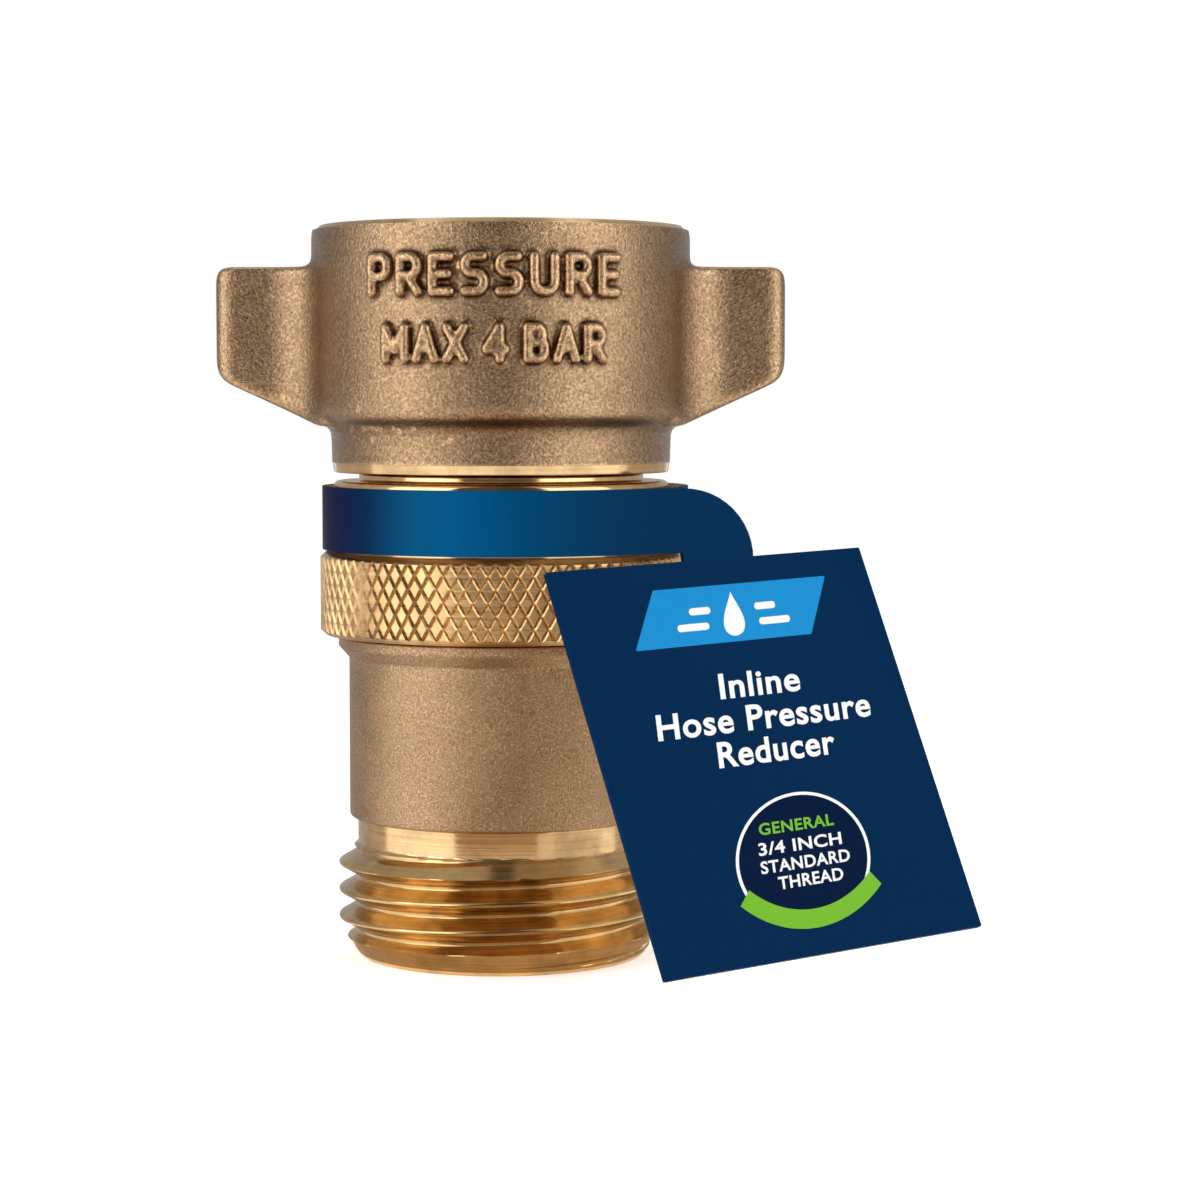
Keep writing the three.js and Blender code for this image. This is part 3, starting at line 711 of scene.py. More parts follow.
def drawn_steel(name, colour, roughness, line):
    """Stainless steel, drawn or stamped: grey and bright with fine drawing lines."""
    made, tree, shader = new_material(name, Metallic=1.0)
    place = node(tree, "ShaderNodeTexCoord").outputs["Object"]
    lines = node(tree, "ShaderNodeTexNoise", {
        "Vector": place, "Scale": 1 / (line * MM), "Detail": 3.0, "Roughness": 0.65})
    tint = ramp(tree, lines.outputs["Fac"], (0.3, rgba(colour, 0.82)), (0.7, rgba(colour, 1.05)))
    rough = node(tree, "ShaderNodeMapRange", {
        "Value": lines.outputs["Fac"], "To Min": roughness * 0.75, "To Max": roughness * 1.3})
    relief = node(tree, "ShaderNodeBump", {
        "Height": lines.outputs["Fac"], "Strength": 0.3, "Distance": 0.005 * MM})
    return dressed(made, tree, shader, tint, rough, relief)


def moulded_rubber(name, hex_colour, roughness):
    """Moulded rubber: near black and soft looking, with a dusty bloom that breaks up its sheen."""
    made, tree, shader = new_material(name)
    place = node(tree, "ShaderNodeTexCoord").outputs["Object"]
    colour = linear(hex_colour)
    bloom = node(tree, "ShaderNodeTexNoise", {"Vector": place, "Scale": 1 / (0.9 * MM), "Detail": 5.0})
    pores = node(tree, "ShaderNodeTexNoise", {"Vector": place, "Scale": 1 / (0.15 * MM), "Detail": 2.0})
    tint = ramp(tree, bloom.outputs["Fac"], (0.35, rgba(colour, 0.85)), (0.75, rgba(colour, 1.5)))
    rough = node(tree, "ShaderNodeMapRange", {
        "Value": bloom.outputs["Fac"], "To Min": roughness - 0.1, "To Max": roughness + 0.12})
    relief = node(tree, "ShaderNodeBump", {
        "Height": pores.outputs["Fac"], "Strength": 0.4, "Distance": 0.01 * MM})
    return dressed(made, tree, shader, tint, rough, relief)


def waxy_ptfe():
    """PTFE, skived: milky white and waxy, so light sinks in a little below the surface."""
    made, tree, shader = new_material(
        "ptfe_skived", IOR=1.35, **{"Subsurface Weight": 0.2, "Subsurface Scale": 0.4 * MM})
    shader.inputs["Subsurface Radius"].default_value = (1.0, 0.9, 0.8)
    place = node(tree, "ShaderNodeTexCoord").outputs["Object"]
    cloud = node(tree, "ShaderNodeTexNoise", {"Vector": place, "Scale": 1 / (0.6 * MM), "Detail": 3.0})
    tint = ramp(tree, cloud.outputs["Fac"],
                (0.3, rgba(linear("#E3E0D6"))), (0.7, rgba(linear("#F2F0EA"))))
    rough = node(tree, "ShaderNodeMapRange", {
        "Value": cloud.outputs["Fac"], "To Min": 0.4, "To Max": 0.6})
    return dressed(made, tree, shader, tint, rough)


def printed_board(name, stops, roughness=0.38):
    """Solid bleached board, offset printed under a satin varnish: flat dense ink with the board's
    faint fibre showing as a slight unevenness of the sheen. stops are one colour, or a blend
    round the loop from its left edge (0) towards the arm (1), which paints a highlight on the
    loop's band about a third of the way round and painted shade at its left edge."""
    made, tree, shader = new_material(name, **{"Specular IOR Level": 0.02})
    place = node(tree, "ShaderNodeTexCoord").outputs["Object"]
    fibre = node(tree, "ShaderNodeTexNoise", {
        "Vector": place, "Scale": 1 / (0.35 * MM), "Detail": 4.0, "Roughness": 0.6})
    if len(stops) > 1:
        # a blend across the loop's band: painted highlight and painted shade, not print
        parts = node(tree, "ShaderNodeSeparateXYZ", {"Vector": place})
        across = node(tree, "ShaderNodeMapRange", {
            "Value": parts.outputs["X"], "From Min": -15 * MM, "From Max": 13 * MM})
        ink = ramp(tree, across.outputs["Result"], *[(p, rgba(c)) for p, c in stops])
    else:
        base = stops[0][1]
        ink = ramp(tree, fibre.outputs["Fac"], (0.3, rgba(base, 0.96)), (0.7, rgba(base, 1.04)))
    rough = node(tree, "ShaderNodeMapRange", {
        "Value": fibre.outputs["Fac"], "To Min": roughness - 0.06, "To Max": roughness + 0.1})
    relief = node(tree, "ShaderNodeBump", {
        "Height": fibre.outputs["Fac"], "Strength": 0.25, "Distance": 0.004 * MM})
    return dressed(made, tree, shader, ink, rough, relief)


KEPT = {}


def finish(name):
    """The material with that key, made the first time it is asked for."""
    colours = bpy.context.scene.regulator_colours
    castings = bpy.context.scene.regulator_castings
    makers = {
        "cast": lambda: cast_brass(
            "brass_cast_fine", tuple(colours.cast), castings.grain, 0.06, 0.3, rub_and_shade=0.0),
        # the nut's cast brass: coarser grain, and the body's cast colour darkened to 0.79 as painted shade,
        # because the nut stands higher and catches more light
        "cast_coarse_darkened": lambda: cast_brass(
            "brass_cast_coarse_darkened", tuple(c * 0.79 for c in colours.cast), castings.grain * 1.6,
            0.065, 0.18, rub_and_shade=1.0),
        "turned": lambda: turned_brass("brass_turned_bright", tuple(colours.turned), 0.15, 0.2, 0.3),
        "thread": lambda: turned_brass("brass_turned_thread", linear("#DCB67C"), 0.17, 0.2, 0.28),
        "knurl": lambda: turned_brass("brass_turned_knurled", linear("#DDB681"), 0.27, 0.2, 0.3),
        "steel": lambda: drawn_steel("stainless_stamped", tuple(colours.steel), 0.28, 0.2),
        "wire": lambda: drawn_steel("stainless_wire", tuple(colours.steel), 0.22, 0.12),
        "spring": lambda: drawn_steel("spring_steel_drawn", linear("#8F9194"), 0.3, 0.15),
        "nitrile": lambda: moulded_rubber("nitrile_moulded", "#161617", 0.5),
        "washer": lambda: moulded_rubber("epdm_moulded", "#1C1F22", 0.62),
        "ptfe": waxy_ptfe,
        "board": lambda: printed_board("board_printed_navy", [(0, tuple(colours.navy))]),
        # the loop's band: navy with a painted highlight about a third of the way round and painted shade at
        # its left edge
        "loop": lambda: printed_board("board_navy_painted_sheen", [(p, linear(c)) for p, c in (
            (0.02, "#0A0830"), (0.07, "#0C1238"), (0.168, "#022548"), (0.31, "#004E79"),
            (0.42, "#005080"), (0.593, "#00426A"), (0.875, "#002F54"), (1.0, "#002B4E"))]),
        "back": lambda: printed_board("board_unprinted", [(0, linear("#F3F2EC"))], 0.7),
        "sky": lambda: printed_board("ink_sky_blue", [(0, linear("#1E90D2"))]),
        "white": lambda: printed_board("ink_white", [(0, linear("#FBFBFA"))]),
        "green": lambda: printed_board("ink_leaf_green", [(0, linear("#79BC35"))]),
        "deep": lambda: printed_board("ink_deep_blue", [(0, linear("#041A3A"))]),
    }
    if name not in KEPT:
        KEPT[name] = makers[name]()
    return KEPT[name]


# ---------------------------------------------------------------- outlet body

class REGULATOR_OT_outlet_body(bpy.types.Operator):
    """Cast outlet body with its turned band, male hose thread, bore and piston cylinder."""

    bl_idname = "regulator.outlet_body"
    bl_label = "Outlet body"

    band_r: FloatProperty(name="Band radius", description="Turned band above the thread", default=11.87)
    body_r: FloatProperty(name="Body radius", description="Cast barrel", default=12.54)
    flare_r: FloatProperty(name="Flare radius", description="Cast ring under the collar", default=13.4)

    def execute(self, context):
        band_z, relief_z = 11.45, 9.33
        rise = thread_radius(MALE_CREST_R, MALE_ROOT_R, 0.26, 0.12)
        first_crest = 2.07

        def side(angle, z):
            along = (z - first_crest) / PITCH - angle / (2 * math.pi)
            thread = rise((along - np.round(along)) * PITCH)
            lead = 11.72 + z * 0.72
            relief = self.band_r + (relief_z - z) * 1.0
            return np.minimum(np.minimum(thread, lead), np.maximum(relief, self.band_r))

        obj = to_object("outlet_casting", threaded_band(0, relief_z + 0.3, side, 9.2))
        core = to_object("core", revolved([
            (8.5, 0, 0.35), (9.6, 0, 0), (9.6, 9.0, 0), (self.band_r, 9.0, 0),
            (self.band_r, band_z, 0.12), (self.body_r, band_z, 0.55), (self.body_r, 24.55, 0.35),
            (self.flare_r, 25.5, 0.35), (self.flare_r, BODY_TOP_Z, 0.18), (11.6, BODY_TOP_Z, 0.15),
            (11.6, 21.6, 0), (10.1, 20.9, 0), (10.1, 12, 0.1), (8.5, 12, 0.15)], COLUMNS))
        machined(obj, core, "UNION")

        def rule(centres, normals):
            r = np.hypot(centres[:, 0], centres[:, 1])
            cast = (centres[:, 2] > band_z - 0.01) & (r > 11.95) & (centres[:, 2] < BODY_TOP_Z - 0.02)
            thread = (centres[:, 2] < relief_z - 0.1) & (r > 9.3)
            return np.where(cast, 1, np.where(thread, 2, 0))

        finish_piece(obj, "housing", ["outlet_body"],
                     [finish("turned"), finish("cast"), finish("thread")], rule)
        return {"FINISHED"}


# ---------------------------------------------------------------- inlet bonnet

class REGULATOR_OT_inlet_bonnet(bpy.types.Operator):
    """Turned bonnet: knurled collar, barrel, flange, bearing boss and inlet tail."""

    bl_idname = "regulator.inlet_bonnet"
    bl_label = "Inlet bonnet"

    def execute(self, context):
        sizes = context.scene.regulator_collar
        low, high, outer = 26.45, 33.2, 14.85
        collar = to_object("bonnet_turned", knurled_band(
            low - 0.3, high + 0.3, outer, 12.6, sizes.diamonds, sizes.groove_depth))
        bevel = sizes.bevel
        envelope = to_object("envelope", revolved([
            (12.8, low, 0), (outer - bevel, low, 0.12), (outer + 0.02, low + bevel, 0.1),
            (outer + 0.02, high - bevel, 0.1), (outer - bevel, high, 0.12), (12.8, high, 0)], COLUMNS))
        machined(collar, envelope, "INTERSECT")
        core = to_object("core", revolved([
            (9.3, BONNET_Z, 0.2), (11.2, BONNET_Z, 0.3), (11.2, 24.4, 0.1), (10.3, 24.4, 0.1),
            (10.3, 25.8, 0.1), (11.2, 25.8, 0.1), (11.2, low, 0), (13.0, low, 0), (13.0, high - 0.1, 0),
            (13.2, high - 0.1, 0.1), (13.2, 37.9, 0.25), (13.69, 37.9, 0.3), (13.69, 39.0, 0.4),
            (11.65, 39.0, 0.2), (11.65, 39.55, 0.15), (10.9, 39.55, 0.1), (10.9, 43.45, 0.08),
            (9.85, 43.45, 0.08), (9.85, 45.1, 0.08), (10.9, 45.1, 0.08), (10.9, TAIL_TOP_Z, 0.2),
            (8.9, TAIL_TOP_Z, 0.12), (8.9, 45.1, 0.1), (7.2, 45.1, 0.15), (7.2, 44.05, 0.05),
            (7.9, 44.05, 0.05), (7.9, 43.0, 0.05), (7.2, 43.0, 0.05), (7.2, 40.6, 0.1),
            (6.4, 40.6, 0.15), (6.4, 35.4, 0.3), (4.65, 35.4, 0.3), (4.65, 32.0, 0.05),
            (6.5, 32.0, 0.1), (6.5, 29.2, 0.2), (9.3, 29.2, 0.3)], COLUMNS))
        machined(collar, core, "UNION")

        def rule(centres, normals):
            r = np.hypot(centres[:, 0], centres[:, 1])
            knurled = (centres[:, 2] > low - 0.01) & (centres[:, 2] < high + 0.01) & (r > 13.2)
            return np.where(knurled, 1, 0)

        finish_piece(collar, "housing", ["inlet_bonnet"],
                     [finish("turned"), finish("knurl")], rule, sharp=24)
        return {"FINISHED"}


# ---------------------------------------------------------------- swivel nut

class REGULATOR_OT_swivel_nut(bpy.types.Operator):
    """Cast winged nut with cast letters, machined faces and a female hose thread."""

    bl_idname = "regulator.swivel_nut"
    bl_label = "Swivel nut"

    def cast_letters(self, words, relief, middle_z, width, height):
        """Letters of round rods, wrapped on the barrel and standing out of it by the relief.

        Their inner halves are drawn deeper, so that every rod reaches well into the barrel.
        """
        bm = stroke_words(words, width, height, 2 * LETTER_R)
        for v in bm.verts:
            x, y, h = v.co
            angle = -math.pi / 2 + x / NUT_BARREL_R - 0.01
            r = NUT_BARREL_R + relief - LETTER_R + (h if h > 0 else 2.2 * h)
            v.co = (r * math.cos(angle), r * math.sin(angle), middle_z - height / 2 + y)
        return bm

    def wings(self):
        """Both wings as one plate: their plan, with fillets that sweep into the barrel, cut to the
        outline seen from the front."""
        half, sweep, reach = 2.5, 5.0, 23.2
        blend = math.sqrt((NUT_BARREL_R + sweep) ** 2 - (half + sweep) ** 2)
        angle_end = math.atan2(blend, half + sweep)
        side = [(reach, -half), (blend, -half)]
        for s in range(1, 13):
            a = math.pi / 2 + angle_end * s / 12
            side.append((blend + sweep * math.cos(a), -half - sweep + sweep * math.sin(a)))
        side.append((0, -10))
        mirrored = [(-x, y) for x, y in reversed(side)][1:]
        front = side + mirrored
        plan = [(x, y, 1.25 if abs(x) == reach else 0) for x, y in front]
        plan = rounded(plan + [(x, -y, soft) for x, y, soft in reversed(plan)])
        elevation = rounded([
            (-reach, 47.35, 1.9), (-14.7, 43.45, 0.5), (14.7, 43.45, 0.5), (reach, 47.35, 1.9),
            (reach, 56.35, 1.0), (-reach, 56.35, 1.0)])
        plate = to_object("wing_plan", extruded(plan, 42, 58))
        tall = to_object("wing_elevation", extruded(elevation, -16, 16, upright=True))
        return machined(plate, tall, "INTERSECT")

    def execute(self, context):
        sizes = context.scene.regulator_castings
        words = context.scene.regulator_words
        blank = to_object("nut_casting", revolved([
            (0, 39.0, 0), (13.82, 39.0, 0), (13.92, 43.45, 0.5), (NUT_BARREL_R, 44.25, 0.55),
            (15.46, 60.2, 1.2), (0, 60.2, 0)], COLUMNS))
        machined(blank, self.wings(), "UNION")
        remeshed(blank, 0.25, sizes.wing_softness)
        top_row = self.cast_letters(words.cast_top, sizes.letter_relief, 55.3, 20.8, 3.5)
        low_row = self.cast_letters(words.cast_bottom, sizes.letter_relief, 50.0, 18.2, 3.25)
        letters = to_object("letters", merged(top_row, low_row))
        both = bmesh.new()
        both.from_mesh(blank.data)
        both.from_mesh(letters.data)
        both.to_mesh(blank.data)
        both.free()
        bpy.data.objects.remove(letters)
        remeshed(blank, sizes.cast_voxel, 2)

        outside = to_object("outside", revolved([
            (0, NUT_Z, 0), (13.7, NUT_Z, 0.1), (13.8, NUT_Z + 0.8, 0.03), (25, NUT_Z + 0.8, 0),
            (25, 59.3, 0), (15.12, 59.3, 0.05), (14.78, NUT_TOP_Z, 0.05), (0, NUT_TOP_Z, 0)], COLUMNS))
        machined(blank, outside, "INTERSECT")
        rise = thread_radius(FEMALE_CREST_R, FEMALE_ROOT_R, 0.2, 0.12)

        def side(angle, z):
            along = z / PITCH - angle / (2 * math.pi)
            thread = rise((along - np.round(along)) * PITCH)
            lead = 12.3 + np.maximum(z - 57.7, 0) * 0.9
            start = 12.3 + np.clip(z - 49.0, 0, 2)
            return np.maximum(np.minimum(thread, start), np.minimum(lead, 14.0))

        thread = to_object("thread", threaded_band(48.9, 59.4, side, 0))
        plug = to_object("plug", revolved([
            (0, 38, 0), (11.5, 38, 0), (11.1, NUT_Z + 0.35, 0.1), (11.1, 43.2, 0.08), (12.3, 43.2, 0.3),
            (12.3, 49.5, 0), (0, 49.5, 0)], COLUMNS))
        mouth = to_object("mouth", revolved([
            (0, 59.0, 0), (13.55, 59.0, 0), (14.15, NUT_TOP_Z + 0.05, 0), (14.15, 61, 0), (0, 61, 0)],
            COLUMNS))
        machined(blank, thread, "DIFFERENCE")
        machined(blank, plug, "DIFFERENCE")
        machined(blank, mouth, "DIFFERENCE")

        def rule(centres, normals):
            r = np.hypot(centres[:, 0], centres[:, 1])
            z = centres[:, 2]
            top = (z > 59.28) & (r < 15.2) & ((normals[:, 2] > 0.5) | (r < 14.3))
            bottom = (z < NUT_Z + 0.8) & (r < 13.83)
            inside = r < 13.75
            return np.where(top | bottom | inside, 1, 0)

        finish_piece(blank, "nut", ["swivel_nut"],
                     [finish("cast_coarse_darkened"), finish("turned")], rule)
        return {"FINISHED"}


# ---------------------------------------------------------------- inlet fittings

class REGULATOR_OT_inlet_fittings(bpy.types.Operator):
    """Hose washer, retaining ring and the domed wire screen in its rim."""

    bl_idname = "regulator.inlet_fittings"
    bl_label = "Inlet fittings"

    wire_gap: FloatProperty(name="Wire spacing", description="Between the screen's wires, in mm", default=0.7)

    def execute(self, context):
        low, high = node_z("hose_washer")
        washer = to_object("washer_moulded", revolved([
            (7.9, low, 0.35), (11.9, low, 0.4), (11.9, high, 0.4), (10.9, high, 0.1),
            (10.7, high - 0.12, 0.05), (10.4, high - 0.12, 0.05), (10.2, high, 0.1), (7.9, high, 0.35)]))
        finish_piece(washer, "housing", ["hose_washer"], [finish("washer")])

        low, high = node_z("retaining_ring")
        ring = split_ring("retaining_ring_stamped", 10.0, 11.95, low, high, 0.18, 3)
        finish_piece(ring, "housing", ["retaining_ring"], [finish("steel")])

        low, high = node_z("screen_rim")
        rim = to_object("screen_rim_rolled", revolved([
            (7.05, low, 0.1), (8.75, low, 0.15), (8.75, high, 0.15), (7.9, high, 0.1),
            (7.6, high + 0.28, 0.12), (7.05, high + 0.28, 0.12)]))
        finish_piece(rim, "housing", ["screen_rim"], [finish("steel")])

        top = node_z("screen_mesh")[1]
        dome_r, edge_r, wire_r = 9.4, 7.1, 0.13
        gap = self.wire_gap
        count = int(edge_r / gap)
        cloth = bmesh.new()
        for family in (0, 1):
            for k in range(-count, count + 1):
                across = k * gap
                reach = math.sqrt(max(edge_r ** 2 - across ** 2, 0))
                if reach < gap:
                    continue
                s = np.linspace(-reach, reach, 8 * count)
                phase = math.pi * (k + family)
                weave = wire_r * 1.05 * np.cos(math.pi * s / gap + phase)
                z = top - wire_r * 2.2 - dome_r + np.sqrt(dome_r ** 2 - s ** 2 - across ** 2) + weave
                path = [(a, across, h) if family == 0 else (across, a, h) for a, h in zip(s, z)]
                merged(cloth, swept(path, circle(wire_r, 6)))
        mesh = to_object("screen_woven", cloth)
        finish_piece(mesh, "housing", ["screen_mesh"], [finish("wire")], sharp=60)
        return {"FINISHED"}


# ---------------------------------------------------------------- seat

class REGULATOR_OT_seat(bpy.types.Operator):
    """Seat spider with its rubber disc, screw and circlip."""

    bl_idname = "regulator.seat"
    bl_label = "Valve seat"

    def execute(self, context):
        holder = to_object("seat_spider", revolved([
            (1.2, 41.15, 0.05), (4.35, 41.15, 0.1), (4.35, 39.4, 0.15), (5.1, 39.4, 0.2),
            (5.1, 42.3, 0.3), (1.2, 42.3, 0.15)]))
        rim = to_object("rim", revolved([
            (6.2, 40.75, 0.15), (7.05, 40.75, 0.15), (7.05, 42.85, 0.15), (6.2, 42.85, 0.15)]))
        machined(holder, rim, "UNION")
        for k in range(3):
            arm = to_object("arm", extruded(rounded([
                (4.8, -0.8, 0.2), (6.7, -1.0, 0.2), (6.7, 1.0, 0.2), (4.8, 0.8, 0.2)]), 40.95, 42.25))
            arm.data.transform(Matrix.Rotation(k * 2 * math.pi / 3, 4, "Z"))
            machined(holder, arm, "UNION")
        finish_piece(holder, "housing", ["seat_holder"], [finish("turned")])

        low, high = node_z("seat_disc")
        disc = flat_ring("seat_disc_moulded", 1.3, 4.2, low, high, 0.12)
        finish_piece(disc, "housing", ["seat_disc"], [finish("nitrile")])

        low, high = node_z("seat_screw")
        screw = to_object("seat_screw_pan", revolved([
            (0, low, 0), (1.5, low, 0.5), (2.2, low + 0.55, 0.3), (2.2, 39.0, 0.08), (1.05, 39.0, 0.05),
            (1.05, high, 0.2), (0, high, 0)], 64))
        slot = to_object("slot", extruded([(-3, -0.3), (3, -0.3), (3, 0.3), (-3, 0.3)], low - 1, low + 0.45))
        machined(screw, slot, "DIFFERENCE")
        finish_piece(screw, "housing", ["seat_screw"], [finish("steel")])

        low, high = node_z("seat_circlip")
        clip = split_ring("seat_circlip_stamped", 6.3, 7.75, low, high, 0.1, 3.5)
        finish_piece(clip, "housing", ["seat_circlip"], [finish("steel")])
        return {"FINISHED"}


# ---------------------------------------------------------------- piston and spring

class REGULATOR_OT_piston(bpy.types.Operator):
    """Hollow piston with its head seal and wear ring."""

    bl_idname = "regulator.piston"
    bl_label = "Piston"

    def execute(self, context):
        low, high = node_z("piston")
        piston = to_object("piston_turned", revolved([
            (5.2, low, 0.3), (9.95, low, 0.3), (9.95, 13.0, 0.06), (9.0, 13.0, 0.06), (9.0, 14.7, 0.06),
            (9.95, 14.7, 0.06), (9.95, 15.4, 0.06), (8.3, 15.4, 0.08), (8.3, 17.4, 0.08),
            (9.95, 17.4, 0.06), (9.95, 18.0, 0.25), (5.0, 18.0, 0.2), (4.5, 18.5, 0.3),
            (4.5, high - 0.8, 0.2), (3.6, high, 0.04), (3.4, high, 0.04), (3.0, high - 0.4, 0.1),
            (3.0, low + 2.6, 0.4)]))
        finish_piece(piston, "piston", ["piston"], [finish("turned")])

        seal = o_ring("piston_seal_moulded", 9.2, 16.4, 0.82)
        finish_piece(seal, "piston", ["piston_o_ring"], [finish("nitrile")])

        low, high = node_z("piston_wear_ring")
        wear = split_ring("wear_ring_skived", 9.15, 10.0, low, high, 0.1, 0.6)
        finish_piece(wear, "piston", ["piston_wear_ring"], [finish("ptfe")])
        return {"FINISHED"}


class REGULATOR_OT_spring(bpy.types.Operator):
    """Regulating spring, its washer, and the seals of the stem and of the body joint."""

    bl_idname = "regulator.spring"
    bl_label = "Spring and stem seals"

    def execute(self, context):
        low, high = node_z("regulating_spring")
        wire_r, coil_r, open_turns, closed_turns, closed_pitch = 0.8, 7.3, 2.6, 0.625, 1.7
        first, last = low + wire_r, high - wire_r
        open_pitch = (last - first - 2 * closed_turns * closed_pitch) / open_turns
        total = open_turns + 2 * closed_turns
        turn = np.linspace(0, total, int(total * 48))
        z = (first + np.minimum(turn, closed_turns) * closed_pitch
             + np.clip(turn - closed_turns, 0, open_turns) * open_pitch
             + np.maximum(turn - closed_turns - open_turns, 0) * closed_pitch)
        path = np.column_stack((
            coil_r * np.cos(2 * math.pi * turn), coil_r * np.sin(2 * math.pi * turn), z))
        spring = to_object("spring_coiled", swept(path, circle(wire_r, 16)))
        finish_piece(spring, "housing", ["regulating_spring"], [finish("spring")], sharp=60)
        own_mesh(spring)

        low, high = node_z("spring_washer")
        washer = flat_ring("spring_washer_stamped", 4.75, 9.1, low, high, 0.12)
        finish_piece(washer, "housing", ["spring_washer"], [finish("steel")])

        low, high = node_z("stem_backup_ring")
        backup = flat_ring("backup_ring_skived", 4.65, 6.35, low, high, 0.08)
        finish_piece(backup, "housing", ["stem_backup_ring"], [finish("ptfe")])

        stem = o_ring("stem_seal_moulded", 5.53, 31.05, 0.82)
        finish_piece(stem, "housing", ["stem_o_ring"], [finish("nitrile")])

        joint = o_ring("body_seal_moulded", 10.9, 25.1, 0.5)
        finish_piece(joint, "housing", ["body_o_ring"], [finish("nitrile")])
        return {"FINISHED"}


# ---------------------------------------------------------------- hang tag

class REGULATOR_OT_hang_tag(bpy.types.Operator):
    """Die-cut board tag: a loop round the neck, an arm and a printed card."""

    bl_idname = "regulator.hang_tag"
    bl_label = "Hang tag"

    board: FloatProperty(name="Board", description="Board thickness, in mm", default=0.4)

    def placed(self, bm, folded=True, depth=0.0):
        """Stands a flat drawing, in X and Y with Z towards the viewer, on the tag's panel."""
        lean, roll = (TAG_LEAN, TAG_ROLL) if folded else (0, 0)
        turn = Matrix.Rotation(TAG_AZIMUTH, 4, "Z")
        stand = Matrix(((1, 0, 0, 0), (0, 0, -1, 0), (0, 1, 0, 0), (0, 0, 0, 1)))
        centre = Vector((CARD_X, 0, -CARD_HEIGHT / 2))
        rolled = Matrix.Translation(centre) @ Matrix.Rotation(-roll, 4, "Y") @ Matrix.Translation(-centre)
        leaned = Matrix.Rotation(-lean, 4, "X")
        out = Matrix.Translation((0, -LOOP_R - LOOP_SHIFT, FOLD_Z))
        bm.transform(turn @ out @ leaned @ rolled @ Matrix.Translation((0, -depth, 0)) @ stand)
        return bm

    def execute(self, context):
        board = self.board
        low, high = 33.45, 38.6
        outward = Vector((math.sin(TAG_AZIMUTH), -math.cos(TAG_AZIMUTH), 0))
        loop_bm = revolved([
            (LOOP_R, low, 0.05), (LOOP_R + board, low, 0.05), (LOOP_R + board, high, 0.05),
            (LOOP_R, high, 0.05)], COLUMNS)
        bmesh.ops.translate(loop_bm, verts=loop_bm.verts, vec=LOOP_SHIFT * outward)
        tag = to_object("tag_board", loop_bm)

        left, right = 7.2, 14.2
        outline = [(0, low - FOLD_Z), (left, low - FOLD_Z), (left + 0.2, -0.3), (right, -0.3)]
        for s in range(13):
            a = math.pi / 2 * s / 12
            outline.append((left + (right - left) * math.cos(a), (high - FOLD_Z) * math.sin(a)))
        outline.append((0, high - FOLD_Z))
        arm = to_object("arm", self.placed(extruded(outline, 0, board), folded=False))
        machined(tag, arm, "UNION")
        start, end = CARD_X - CARD_WIDTH / 2, CARD_X + CARD_WIDTH / 2
        card_outline = rounded([
            (start, 0, 0.15), (start, -CARD_HEIGHT, 0.15), (end, -CARD_HEIGHT, 0.15), (end, 0, 0.15)])
        card = to_object("card", self.placed(extruded(card_outline, 0, board)))
        machined(tag, card, "UNION")

        def rule(centres, normals):
            flat = np.hypot(centres[:, 0], centres[:, 1])
            away = normals[:, 0] * centres[:, 0] + normals[:, 1] * centres[:, 1]
            facing = normals @ np.array(outward)
            on_loop = centres[:, 2] > low - 0.05
            printed = np.where(on_loop, away > -0.5 * flat, facing > -0.5)
            return np.where(printed, np.where(on_loop, 1, 0), 2)

        finish_piece(tag, "tag", ["hang_tag"],
                     [finish("board"), finish("loop"), finish("back")], rule)
        self.print_card(context.scene.regulator_words)
        return {"FINISHED"}

    def slanted(self, bm, x, y):
        """Leans a drawing a little to the right and puts it at a place on the card."""
        for v in bm.verts:
            v.co.x += x + 0.2 * v.co.y
            v.co.y += y
        return bm

    def ink(self, name, bm, key, layer=1):
        """A printed shape: a film of ink on the card's face."""
        film = FILM * layer
        grown = bmesh.ops.extrude_face_region(bm, geom=list(bm.faces))
        for v in [g for g in grown["geom"] if isinstance(g, bmesh.types.BMVert)]:
            v.co.z += film
        obj = to_object(name, self.placed(bm, depth=self.board))
        finish_piece(obj, "tag", [], [finish(key)])

    def disc(self, x, y, outer, inner=0.0, start=0.0, end=2 * math.pi, steps=96):
        """A disc, a ring or part of a ring."""
        bm = bmesh.new()
        full = abs(end - start - 2 * math.pi) < 1e-6
        angles = [start + (end - start) * s / steps for s in range(steps if full else steps + 1)]
        rim = [bm.verts.new((x + outer * math.cos(a), y + outer * math.sin(a), 0)) for a in angles]
        if inner == 0:
            bm.faces.new(rim)
            return bm
        hole = [bm.verts.new((x + inner * math.cos(a), y + inner * math.sin(a), 0)) for a in angles]
        for k in range(len(angles) if full else len(angles) - 1):
            n = (k + 1) % len(angles)
            bm.faces.new((rim[k], rim[n], hole[n], hole[k]))
        return bm

    def shape(self, corners):
        """A flat shape with rounded corners."""
        bm = bmesh.new()
        bm.faces.new([bm.verts.new((x, y, 0)) for x, y in rounded(corners)])
        return bm

    def drop(self, size):
        """A water drop, point up."""
        outline = []
        for t in np.arange(48) * 2 * math.pi / 48:
            outline.append((size * math.sin(t) * math.sin(t / 2) ** 1.6, size * 1.25 * math.cos(t), 0))
        return self.shape(outline)

